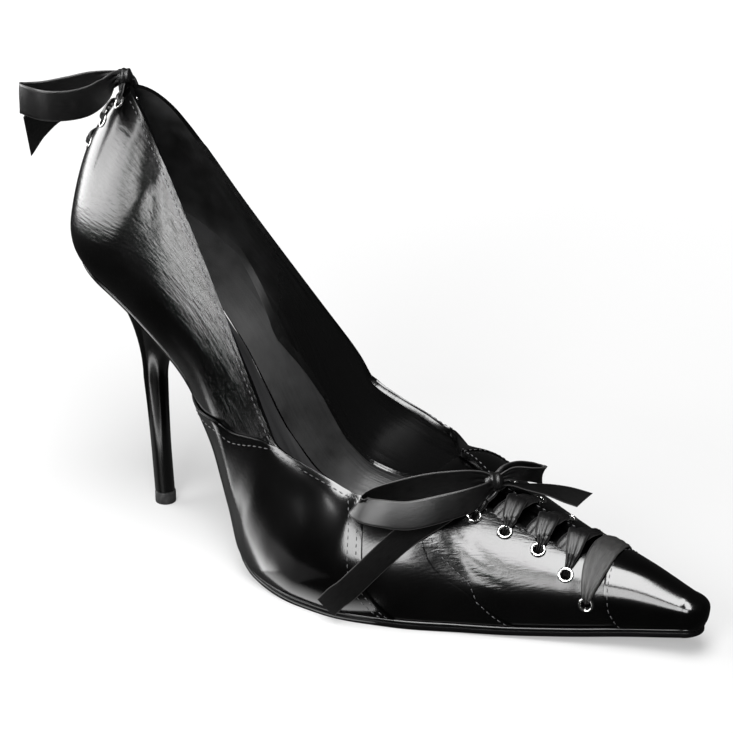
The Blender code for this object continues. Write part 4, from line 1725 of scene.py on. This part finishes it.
FRONT_LOOP_NEAR = (
    Way(172.2, -8.5, 46.9, 5.2, 0), Way(168.8, -14.0, 47.6, 7.8, 0), Way(160.6, -22.0, 47.0, 9.3, 0),
    Way(152.6, -29.0, 45.6, 9.5, 10), Way(146.0, -35.0, 44.6, 9.0, 28), Way(143.6, -38.6, 43.0, 8.4, 45),
    Way(146.8, -40.2, 42.4, 8.6, 38), Way(152.6, -38.6, 42.0, 9.0, 30), Way(159.7, -34.0, 41.2, 9.3, 24),
    Way(167.7, -27.0, 42.8, 9.0, 18), Way(174.3, -18.0, 44.2, 8.0, 10), Way(175.2, -8.7, 44.7, 5.0, 0),
)
FRONT_END_NEAR = (
    Way(172.5, -10.8, 42.1, 3.2, 119), Way(169.8, -15.6, 40.6, 5.6, 126), Way(166.2, -20.5, 39.0, 7.6, 130),
    Way(162.6, -26.7, 36.6, 8.0, 136), Way(159.2, -31.1, 34.0, 8.0, 141), Way(155.8, -35.2, 30.4, 8.0, 147),
    Way(151.8, -39.3, 25.4, 8.0, 157), Way(147.2, -42.8, 19.5, 8.0, 169), Way(142.8, -44.6, 14.1, 8.0, 180),
    Way(139.0, -45.1, 10.4, 8.0, 180), Way(135.1, -45.0, 5.6, 8.0, 180),
)
FRONT_LOOP_FAR = (
    Way(174.8, 1.0, 46.0, 5.0, 0), Way(175.8, 6.0, 45.2, 6.4, -10), Way(176.8, 11.5, 43.0, 7.0, -20),
    Way(177.6, 15.8, 41.0, 7.0, -25), Way(179.0, 18.2, 39.9, 6.6, -12), Way(180.8, 17.6, 39.8, 6.6, 10),
    Way(181.8, 14.2, 41.4, 6.4, 25), Way(180.6, 8.2, 43.8, 5.8, 20), Way(177.2, 2.2, 45.6, 4.6, 0),
)
FRONT_END_FAR = (
    Way(176.2, 1.4, 42.2, 3.0, 90), Way(180.4, 6.2, 40.0, 4.5, 85), Way(186.0, 11.2, 38.2, 6.0, 75),
    Way(191.4, 14.4, 36.6, 7.0, 66), Way(197.2, 16.4, 35.2, 7.0, 62),
)
BACK_LOOP_NEAR = (
    Way(23.3, -2.2, 156.2, 5.0, 0), Way(18.6, -7.0, 154.4, 9.0, 0), Way(13.2, -13.0, 152.6, 10.5, 0),
    Way(7.8, -20.0, 151.9, 10.5, 0), Way(4.2, -25.4, 152.3, 10.5, 0), Way(4.6, -28.4, 152.9, 10.5, 0),
    Way(9.4, -30.0, 153.0, 10.5, 0), Way(15.0, -28.6, 152.2, 10.5, 0), Way(19.8, -22.8, 151.4, 10.5, 0),
    Way(23.0, -15.6, 151.6, 10.5, 0), Way(24.4, -9.0, 153.5, 9.2, 0), Way(25.2, -3.8, 156.6, 4.8, 0),
)
BACK_END = (
    Way(21.4, -3.0, 152.4, 3.2, 0), Way(17.0, -5.2, 149.0, 6.0, 0), Way(11.8, -8.8, 147.0, 9.4, 0),
    Way(5.9, -12.8, 144.8, 10.0, 0), Way(1.6, -16.0, 140.2, 10.0, 0), Way(-1.4, -18.5, 135.2, 10.0, 0),
)
BACK_LOOP_FAR = (
    Way(23.6, 4.4, 155.0, 4.6, 0), Way(18.8, 9.5, 150.0, 8.0, 0), Way(13.6, 14.5, 143.0, 9.0, 0),
    Way(12.0, 17.5, 136.5, 9.0, 0), Way(14.4, 20.5, 134.8, 9.0, 0), Way(17.4, 20.0, 138.5, 9.0, 0),
    Way(20.4, 14.6, 146.0, 8.0, 0), Way(24.6, 6.8, 152.8, 4.6, 0),
)


class Knot(NamedTuple):
    """Middle and half sizes of a bow's knot."""

    x: float
    y: float
    z: float
    half_x: float
    half_y: float
    half_z: float


FRONT_KNOT = Knot(173.6, -4.0, 44.5, 3.6, 4.2, 3.5)
BACK_KNOT = Knot(26.3, 0.4, 156.4, 2.6, 3.4, 3.0)


class Strand(NamedTuple):
    """A row of a lace strand: its place as over_front or over_back counts it, its height and its width."""

    a: float
    b: float
    lift: float
    wide: float


FRONT_BAR = (
    Strand(215.0, -0.92, -1.6, 1.8), Strand(215.0, -0.86, 0.1, 2.2), Strand(215.0, -0.81, 1.2, 3.0),
    Strand(215.0, -0.64, 1.5, 5.4), Strand(214.8, -0.38, 1.8, 8.2), Strand(214.6, -0.12, 2.0, 9.0),
    Strand(214.5, 0.12, 1.9, 8.8), Strand(214.2, 0.42, 1.6, 7.0), Strand(214.0, 0.67, 1.2, 3.2),
    Strand(214.0, 0.72, 0.1, 2.2), Strand(214.0, 0.78, -1.6, 1.8),
)
BACK_BAR = (
    Strand(-5.2, 0.54, -1.6, 1.8), Strand(-4.4, 0.54, 0.0, 2.2), Strand(-3.6, 0.54, 0.65, 2.8),
    Strand(-1.6, 0.545, 0.8, 5.0), Strand(1.6, 0.545, 0.8, 5.0), Strand(3.6, 0.54, 0.65, 2.8),
    Strand(4.4, 0.54, 0.0, 2.2), Strand(5.2, 0.54, -1.6, 1.8),
)


def distances(line: Sequence[Vector]) -> list[float]:
    """Measures along a line.

    Args:
        line: its points.

    Returns:
        How far along it each point lies.
    """
    walked = [0.0]
    for a, b in zip(line, line[1:]):
        walked.append(walked[-1] + (b - a).length)
    return walked


def smooth_rows(route: Sequence[Any], per_row: int) -> list[Any]:
    """Reads rows from a smooth curve through a route's rows.

    Args:
        route: the rows, named tuples of one kind.
        per_row: how many to read from each row to the next.

    Returns:
        The rows, of the same kind.
    """
    kind = type(route[0])
    rows = []
    last = len(route) - 1
    for step in range(last * per_row + 1):
        at = min(step // per_row, last - 1)
        t = step / per_row - at
        before, start, end, after = (Vector(route[min(max(at + k, 0), last)]) for k in (-1, 0, 1, 2))
        straight = start * (1 + 2 * t) * (1 - t) ** 2 + end * t * t * (3 - 2 * t)
        bend = (end - before) * t * (1 - t) ** 2 / 2 + (after - start) * t * t * (t - 1) / 2
        rows.append(kind(*(straight + bend)))
    return rows


@dataclass
class Ribbons:
    """Satin ribbon: crossings through the eyelets, and the bows at the throat and at the top of the back."""

    finishes: Finishes
    thick: float = 0.3
    across: int = 12
    puff_outer: float = 2.2
    puff_inner: float = 0.5
    tucked: float = -1.9
    lace_steps: int = 7
    bow_steps: int = 8
    crown: float = 0.3
    cut_reach: float = 14.0
    lace_pleat: float = 0.12
    lace_gather: float = 0.2
    lace_full: float = 6.5
    lace_fade: float = 4.0
    bow_gather: float = 0.45
    bow_reach: float = 10.0
    bow_fade: float = 7.0
    in_knot: float = 3.0
    knot_pleat: float = 0.07
    knot_waist: float = 0.12
    knot_girth: float = 24.0
    knot_wide: float = 8.0

    def build(self) -> list[Piece]:
        """Makes both lacings and both bows.

        Returns:
            The pieces.
        """
        front = self.strands(FRONT_EYELETS, self.front_strand)
        back = self.strands(BACK_EYELETS, self.back_strand)
        return [
            self.build_lacing("front_lace", "front_lace_crossings", self.over_front, [FRONT_BAR], front),
            self.build_lacing("back_lace", "back_lace_crossings", self.over_back, [], [BACK_BAR, *back]),
            *self.build_front_bow(),
            *self.build_back_bow(),
        ]

    @staticmethod
    def strands(pairs: Sequence[EyeletPair],
                strand: Callable[[EyeletPair, Side, bool], list[Strand]]) -> list[list[Strand]]:
        """Returns the strands out of all eyelets but the last pair, the first pair's ending in the knot."""
        return [strand(pair, side, pair is pairs[0]) for side in reversed(Side) for pair in pairs[:-1]]

    @staticmethod
    def over_front(s: float, w: float, high: float) -> Vector:
        """Returns a point over the vamp, w counting v from the crown, below zero on the outer side."""
        return LAST.skin(Side.OUTER if w < 0 else Side.INNER, s, min(1 - abs(w), CROWN), high)

    @staticmethod
    def over_back(w: float, v: float, high: float) -> Vector:
        """Returns a point over the back, w counting stations from the seam, below zero on the outer side."""
        return LAST.skin(Side.OUTER if w < 0 else Side.INNER, abs(w), v, high)

    def front_strand(self, pair: EyeletPair, side: Side, to_knot: bool) -> list[Strand]:
        """Returns a strand that comes out of a front eyelet and crosses the slit.

        Args:
            pair: its pair of eyelets.
            side: the side that it comes out on.
            to_knot: whether it ends in the knot; otherwise it tucks in under the other flap.

        Returns:
            Its rows.
        """
        s, v = pair.on(side)
        hole, near = 1 - v, 1 - LAST.v_top(side, s)
        puff = self.puff_outer if side is Side.OUTER else self.puff_inner
        rows = [
            Strand(s, hole, -1.6, 1.8),
            Strand(s, blend(hole, near, 0.24), 0.1, 2.2),
            Strand(s - 0.1, blend(hole, near, 0.44), 1.15, 2.9),
            Strand(s - 0.4, blend(hole, near, 0.75), 1.35, 4.2),
            Strand(s - 1.0, near, 1.7 + 0.3 * puff, 5.4),
        ]
        if to_knot:
            middle = 0.1 * -side
            rows += [Strand(s, blend(near, middle, 0.6), 3.2, 4.6), Strand(s + 0.4, middle, 4.0, 3.4)]
        else:
            far = LAST.v_top(Side(-side), s - 5.0) - 1
            rows += [
                Strand(s - 2.4, blend(near, far, 0.5), 1.2 + puff, 6.8),
                Strand(s - 4.0, far * 0.95, 0.7, 6.2),
                Strand(s - 5.4, far - 0.1, self.tucked, 4.6),
            ]
        return [row._replace(b=row.b * side) for row in rows]

    def back_strand(self, pair: EyeletPair, side: Side, to_knot: bool) -> list[Strand]:
        """Returns a strand that comes out of a back eyelet and crosses the slit.

        Args:
            pair: its pair of eyelets.
            side: the side that it comes out on.
            to_knot: whether it ends in the knot; otherwise it tucks in under the other flap.

        Returns:
            Its rows.
        """
        s, v = pair.on(side)
        rows = [Strand(s, v, -2.2, 4.6), Strand(s - 0.4, v, -1.2, 2.6), Strand(s - 1.6, v + 0.01, 0.5, 2.8)]
        if to_knot:
            rows += [
                Strand(2.6, v + 0.03, 0.6, 5.0),
                Strand(1.4, v + 0.065, 1.0, 6.0),
                Strand(0.6, v + 0.1, 2.0, 5.0),
            ]
        else:
            over = 1.0 if side is Side.OUTER else 0.6
            rows += [
                Strand(2.4, v + 0.03, 0.75, 4.0),
                Strand(0.2, v + 0.075, over, 5.4),
                Strand(-1.6, v + 0.1, 0.3, 5.0),
                Strand(-3.6, v + 0.13, self.tucked, 4.2),
            ]
        return [row._replace(a=row.a * side) for row in rows]

    def add_band(self, shape: Shape, line: Sequence[Vector], faces: Sequence[Vector], widths: Sequence[float],
                 pleats: Sequence[float], slant: float = 0.0, material: int = 0) -> None:
        """Adds a ribbon.

        Args:
            shape: what it is added to.
            line: its middle line, in millimetres.
            faces: the way that its face looks at each point.
            widths: its width at each point.
            pleats: how deep it is folded lengthwise at each point.
            slant: how much further one edge reaches than the other where its end is cut.
            material: number of its material.
        """
        steps = len(line) - 1
        walked = distances(line)

        def corner(i: int, j: int) -> Corner:
            """Places a corner of the ribbon.

            Args:
                i: its column.
                j: its row.

            Returns:
                Its place and its spot on the map.
            """
            run = (line[min(i + 1, steps)] - line[max(i - 1, 0)]).normalized()
            side = run.cross(faces[i]).normalized()
            t = 2 * j / self.across - 1
            pleat = math.cos(3 * math.pi * t + 0.5 * math.sin(0.35 * walked[i]))
            fold = self.crown * (1 - t * t) + pleats[i] * pleat
            reach = slant * t / 2 * ease((walked[i] - walked[-1] + self.cut_reach) / self.cut_reach)
            point = line[i] + side * (t * widths[i] / 2) + side.cross(run) * fold + run * reach
            return point, (walked[i] + reach, (1 - abs(t)) * widths[i] / 2)

        shape.sheet(steps, self.across, corner, material)

    def build_lacing(self, name: str, node: str, over: Callable[[float, float, float], Vector],
                     sheer: Sequence[Sequence[Strand]],
                     satin: Sequence[Sequence[Strand]]) -> Piece:
        """Makes the ribbon between two rows of eyelets.

        Args:
            name: the piece's name.
            node: the CAD node that it stands for.
            over: place over the upper.
            sheer: strands that lie spread out and let some light through.
            satin: strands that lie bunched.

        Returns:
            The piece.
        """
        shape = Shape()
        for material, strands in enumerate((satin, sheer)):
            for strand in strands:
                rows = smooth_rows(strand, self.lace_steps)
                line = [over(*row[:3]) for row in rows]
                faces = [over(row.a, row.b, row.lift + 1.0) - point for row, point in zip(rows, line)]
                gathers = [ease((self.lace_full - row.wide) / self.lace_fade) for row in rows]
                pleats = [self.lace_pleat + self.lace_gather * gather for gather in gathers]
                self.add_band(shape, line, faces, [row.wide for row in rows], pleats, 0.0, material)
        bmesh.ops.recalc_face_normals(shape.mesh, faces=shape.mesh.faces)
        piece = shape.finish(name, self.finishes.ribbon, self.finishes.organza, sharp=70.0)
        wall(piece, self.thick, Grow.BOTH)
        return settle(piece, Slot.RIBBON, node)

    def build_half(self, name: str, parts: Sequence[Sequence[Way]], knot: Knot, nodes: Sequence[str],
                   slant: float = 0.0) -> Piece:
        """Makes one half of a bow: a loop and, where it shows, the end that leaves the knot after it.

        Args:
            name: the piece's name.
            parts: the loop's route, then the end's.
            knot: the knot that they pass through.
            nodes: the CAD nodes that it stands for.
            slant: how much further its end reaches along one edge.

        Returns:
            The piece.
        """
        inside = Way(knot.x, knot.y, knot.z, self.in_knot, parts[0][-1].lean)
        route = [inside, *parts[0]]
        for part in parts[1:]:
            route += [inside._replace(lean=blend(parts[0][-1].lean, part[0].lean, 0.5)), *part]
        rows = smooth_rows(route, self.bow_steps)
        line = [Vector(row[:3]) for row in rows]
        faces = []
        for i, row in enumerate(rows):
            run = line[min(i + 1, len(line) - 1)] - line[max(i - 1, 0)]
            level = Vector((run.y, -run.x, 0.0)).normalized()
            lean = math.radians(row.lean)
            faces.append(level * math.cos(lean) + Vector((0.0, 0.0, math.sin(lean))))
        near = [ease((self.bow_reach - (point - line[0]).length) / self.bow_fade) for point in line]
        pleats = [self.bow_gather * share for share in near]
        shape = Shape()
        widths = [row.wide for row in rows]
        cuts = [0, *((len(parts[0]) + 1) * self.bow_steps for _ in parts[1:]), len(rows) - 1]
        for number, (a, b) in enumerate(zip(cuts, cuts[1:])):
            self.add_band(shape, line[a:b + 1], faces[a:b + 1], widths[a:b + 1], pleats[a:b + 1],
                          slant if b == cuts[-1] else 0.0, number)
        bmesh.ops.recalc_face_normals(shape.mesh, faces=shape.mesh.faces)
        # The ends take the darker, duller copy of the satin: painted shade.
        piece = shape.finish(name, self.finishes.ribbon, self.finishes.ribbon_back, sharp=70.0)
        wall(piece, self.thick, Grow.BOTH)
        settle(piece, Slot.RIBBON, *nodes)
        path = [LAST.to_scene(point) for point in line]
        max(row.wide for row in rows) * MM
        return piece

    def build_knot(self, name: str, knot: Knot, turn: float, node: str) -> Piece:
        """Makes a knot: a gathered band of ribbon pulled tight round the bow's middle.

        Args:
            name: the piece's name.
            knot: its place and size.
            turn: how far it is turned from the length of the shoe, in degrees.
            node: the CAD node that it stands for.

        Returns:
            The piece.
        """
        around, rows = 40, 24

        def corner(i: int, j: int) -> Corner:
            """Places a point of the knot.

            Args:
                i: its column.
                j: its row.

            Returns:
                Its place and its spot on the map.
            """
            angle = math.tau * i / around
            tilt = math.pi * (j / rows - 0.5)
            pleat = 1 + self.knot_pleat * math.cos(9 * tilt + 0.8 * math.sin(angle)) * math.cos(tilt)
            across = math.cos(tilt)
            along = Vector((math.sin(tilt), across * math.cos(angle), across * math.sin(angle))) * pleat
            waist = 1 - self.knot_waist * math.cos(2 * tilt) ** 2
            point = Vector((along.x, along.y * waist, along.z * waist))
            point.rotate(Matrix.Rotation(math.radians(turn), 3, "Z"))
            place = Vector((
                knot.x + point.x * knot.half_x,
                knot.y + point.y * knot.half_y,
                knot.z + point.z * knot.half_z,
            ))
            return place, (self.knot_girth * i / around, 1.0 + self.knot_wide * j / rows)

        shape = Shape().sheet(around, rows, corner).weld()
        return settle(shape.finish(name, self.finishes.ribbon, sharp=80.0), Slot.RIBBON, node)

    def build_front_bow(self) -> list[Piece]:
        """Returns the bow at the throat."""
        return [
            self.build_knot("front_knot", FRONT_KNOT, 40.0, "front_bow_knot"),
            self.build_half("front_bow_near", (FRONT_LOOP_NEAR, FRONT_END_NEAR), FRONT_KNOT,
                            ("front_bow_loop_near", "front_bow_end_near"), 1.0),
            self.build_half("front_bow_far", (FRONT_LOOP_FAR, FRONT_END_FAR), FRONT_KNOT,
                            ("front_bow_loop_far", "front_bow_end_far"), -3.4),
        ]

    def build_back_bow(self) -> list[Piece]:
        """Returns the bow at the top of the back."""
        return [
            self.build_knot("back_knot", BACK_KNOT, 30.0, "back_bow_knot"),
            self.build_half("back_bow_near", (BACK_LOOP_NEAR, BACK_END), BACK_KNOT,
                            ("back_bow_loop_near", "back_bow_end"), 10.0),
            self.build_half("back_bow_far", (BACK_LOOP_FAR,), BACK_KNOT, ("back_bow_loop_far",)),
        ]


@dataclass
class Stitching:
    """Rows of thread along the collar, the slit and the overlays' edges."""

    finishes: Finishes
    overlays: Overlays
    pitch: float = 2.3
    long: float = 1.55
    thick: float = 0.36
    edge_gap: float = 1.7
    seated: float = 0.04
    edge_steps: int = 60
    cap_gap: float = 1.3
    quarter_gap: float = 1.4
    low: float = -0.95
    collar_seat: float = 0.1
    quarter_seat: float = 0.5
    collar_spans: tuple[Span, ...] = ((7.0, 93.0), (131.0, 206.0))
    panel_lines: tuple[tuple[Span, Span], ...] = (
        ((0.962, 0.0), (0.962, 1.0)),
        ((0.02, 0.016), (0.98, 0.04)),
        ((0.02, 0.984), (0.98, 0.965)),
        ((0.02, 0.958), (0.98, 0.905)),
    )

    def build(self) -> Piece:
        """Makes all stitches as one piece.

        Returns:
            The piece.
        """
        shape = Shape()
        for side in Side:
            for row in self.rows(side):
                self.add_row(shape, row)
        piece = shape.finish("stitching", self.finishes.thread, sharp=80.0)
        return settle(piece, Slot.LEATHER)

    def rows(self, side: Side) -> list[list[Stitch]]:
        """Lists the stitch rows of a side.

        Args:
            side: side of the foot.

        Returns:
            The rows, each a list of places and directions out.
        """
        overlays = self.overlays
        over = overlays.lift + overlays.thick + self.seated

        def seat(s: float, v: float, lift: float) -> Stitch:
            """Returns a place this far outside the upper, and the direction out."""
            return LAST.skin(side, s, v, lift), LAST.out(side, s, v)

        def collar(s: float) -> Stitch:
            """Returns a place below the collar or beside the lace slit."""
            return seat(s, LAST.v_below(side, s, LAST.v_top(side, s), self.edge_gap), self.collar_seat)

        def on_panel(line: tuple[Span, Span], share: float) -> Stitch:
            """Returns a place on a line over a side panel, given by its ends."""
            height, along = (blend(start, end, share) for start, end in zip(*line))
            return seat(*overlays.panel_place(side, height, along), over)

        def on_quarter(share: float) -> Stitch:
            """Seats a stitch behind the quarter's front edge.

            Args:
                share: share of the edge, from the sole up.

            Returns:
                Its place and the direction out.
            """
            v = blend(self.low, 1.0, share)
            s = overlays.quarter_front(v) - self.quarter_gap
            return seat(s, min(v, LAST.v_top(side, s) - 0.03), self.quarter_seat)

        def on_cap(share: float) -> Stitch:
            """Returns a place ahead of the toe cap's back edge."""
            s = blend(overlays.cap_sole, overlays.cap_top, share) + self.cap_gap
            return seat(s, blend(self.low, 0.99, share), over)

        shares = [k / self.edge_steps for k in range(self.edge_steps + 1)]
        rows = []
        for back, front in self.collar_spans:
            rows.append([collar(s) for s in LAST.half_loop() if back < s < front])
        rows += [[on_panel(line, share) for share in shares] for line in self.panel_lines]
        rows.append([on_quarter(share) for share in shares])
        rows.append([on_cap(share) for share in shares[::2]])
        return rows

    def add_row(self, shape: Shape, row: Sequence[Stitch]) -> None:
        """Sets stitches along a row at an even pitch.

        Args:
            shape: what they are added to.
            row: places and directions out.
        """
        walked = distances([place for place, _ in row])
        count = int(walked[-1] / self.pitch)
        for k in range(count):
            at = (k + 0.5) * walked[-1] / count
            i = min(bisect.bisect_right(walked, at) - 1, len(row) - 2)
            share = (at - walked[i]) / max(walked[i + 1] - walked[i], 1e-6)
            place = row[i][0].lerp(row[i + 1][0], share)
            out = row[i][1].lerp(row[i + 1][1], share).normalized()
            run = (row[i + 1][0] - row[i][0]).normalized()
            side = out.cross(run).normalized()
            axes = (run * self.long / 2, side * self.thick / 2, side.cross(run) * -self.thick / 2)
            turn = Matrix(axes).transposed()
            bmesh.ops.create_uvsphere(shape.mesh, u_segments=6, v_segments=5, radius=MM,
                                      matrix=Matrix.Translation(LAST.to_scene(place)) @ turn.to_4x4())


class Softbox(NamedTuple):
    """A soft light: its bearing, height and roll in degrees, its size in metres and its brightness."""

    name: str
    bearing: float
    height: float
    wide: float
    high: float
    radiance: float
    roll: float = 0.0


class FloorCard(NamedTuple):
    """A bright patch that only reflections show: its corners in millimetres, its brightness at two edges."""

    name: str
    start: tuple[float, float]
    end: tuple[float, float]
    far_end: tuple[float, float]
    far_start: tuple[float, float]
    radiance: float
    far_radiance: float


@dataclass
class Studio:
    """Pale floor, soft lights and the photograph's camera."""

    azimuth: float = 31.89
    elevation: float = 24.0
    distance: float = 0.96154
    lens: float = 142.07
    target: tuple[float, float, float] = (-0.01733, 0.0, 0.07212)
    reach: float = 1.3
    dim: float = 0.03
    floor_half: float = 6.0
    card_depth: float = 2.0
    card_rise: float = 0.1
    softboxes: tuple[Softbox, ...] = (
        Softbox("left_softbox", -74.0, 16.0, 1.6, 0.6, 9.5, 18.0),
        Softbox("top_softbox", 26.0, 66.0, 0.55, 1.2, 19.0),
        Softbox("front_softbox", 6.0, 24.0, 0.6, 0.55, 14.0),
    )
    reflections: tuple[FloorCard, ...] = (
        FloorCard("floor_by_arch", (-10.0, -73.0), (94.0, -43.0), (94.5, -54.0), (-26.0, -105.0), 10.0, 0.0),
        FloorCard("floor_by_ball", (94.0, -43.0), (150.0, -45.0), (150.0, -56.0), (94.5, -54.0), 4.0, 0.0),
        FloorCard("floor_by_heel", (-30.0, -100.0), (110.0, -100.0), (110.0, 70.0), (-30.0, 70.0), 0.1, 0.1),
    )

    def build(self) -> None:
        """Makes the camera, the floor and the lights."""
        self.set_camera()
        self.set_floor()
        for card in self.reflections:
            self.set_card(card)
        for softbox in self.softboxes:
            self.set_light(softbox)
        world = bpy.data.worlds.new("studio_dim")
        world.use_nodes = True
        world.node_tree.nodes["Background"].inputs["Color"].default_value = (1.0, 1.0, 1.0, 1.0)
        world.node_tree.nodes["Background"].inputs["Strength"].default_value = self.dim
        bpy.context.scene.world = world
        bpy.context.scene.view_settings.view_transform = "Standard"

    @staticmethod
    def toward(bearing: float, height: float) -> Vector:
        """Returns the direction of a bearing, from the outer side to the toe, and a height, in degrees."""
        turn, tilt = math.radians(bearing), math.radians(height)
        return Vector((math.sin(turn) * math.cos(tilt), -math.cos(turn) * math.cos(tilt), math.sin(tilt)))

    def set_camera(self) -> None:
        """Puts the camera at the photograph's viewing angle."""
        back = self.toward(self.azimuth, self.elevation)
        data = bpy.data.cameras.new("photo_camera")
        data.lens = self.lens
        data.sensor_width = 36.0
        camera = bpy.data.objects.new("photo_camera", data)
        camera.location = Vector(self.target) + back * self.distance
        camera.rotation_euler = back.to_track_quat("Z", "Y").to_euler()
        bpy.context.scene.collection.objects.link(camera)
        bpy.context.scene.camera = camera

    def set_floor(self) -> None:
        """Lays the pale floor."""
        shape = Shape()
        bmesh.ops.create_grid(shape.mesh, x_segments=1, y_segments=1, size=self.floor_half)
        floor = shape.finish("floor", FloorFinish().make())
        floor.visible_glossy = False

    def set_card(self, card: FloorCard) -> None:
        """Lays a bright patch under the floor, seen in reflections alone; a brighter one lies higher.

        Args:
            card: the patch.
        """
        near, far = (card.start, card.end), (card.far_start, card.far_end)

        def corner(i: int, j: int) -> Corner:
            """Returns a corner of the patch."""
            x, y = (far if j else near)[i]
            return Vector((x, y, self.card_rise * card.radiance - self.card_depth)), (i, j)

        glow = GlowFinish(card.name, card.radiance, card.far_radiance).make()
        patch = Shape().sheet(1, 1, corner).finish(card.name, glow)
        for kind in ("camera", "diffuse", "transmission", "shadow", "volume_scatter"):
            setattr(patch, f"visible_{kind}", False)

    def set_light(self, softbox: Softbox) -> None:
        """Hangs a softbox that faces the shoe.

        Args:
            softbox: its place, size and brightness.
        """
        away = self.toward(softbox.bearing, softbox.height)
        data = bpy.data.lights.new(softbox.name, "AREA")
        data.shape = "RECTANGLE"
        data.size, data.size_y = softbox.wide, softbox.high
        data.energy = softbox.radiance * math.pi * softbox.wide * softbox.high
        light = bpy.data.objects.new(softbox.name, data)
        light.location = Vector(self.target) + away * self.reach
        turn = away.to_track_quat("Z", "Y").to_matrix() @ Matrix.Rotation(math.radians(softbox.roll), 3, "Z")
        light.rotation_euler = turn.to_euler()
        bpy.context.scene.collection.objects.link(light)


def main() -> None:
    """Builds the shoe's pieces in order and sets the studio."""
    logging.basicConfig(level=logging.INFO, format="%(name)s %(message)s")
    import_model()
    Studio().build()
    finishes = Finishes.make()
    Ribbons(finishes).build()
    Upper(finishes).build()
    overlays = Overlays(finishes)
    overlays.build()
    Bottom(finishes).build()
    rings = EyeletSet(finishes)
    rings.build("front_eyelet", FRONT_EYELETS, 1.0)
    rings.build("back_eyelet", BACK_EYELETS, 0.25)
    Stitching(finishes, overlays).build()


if __name__ == "__main__":
    main()
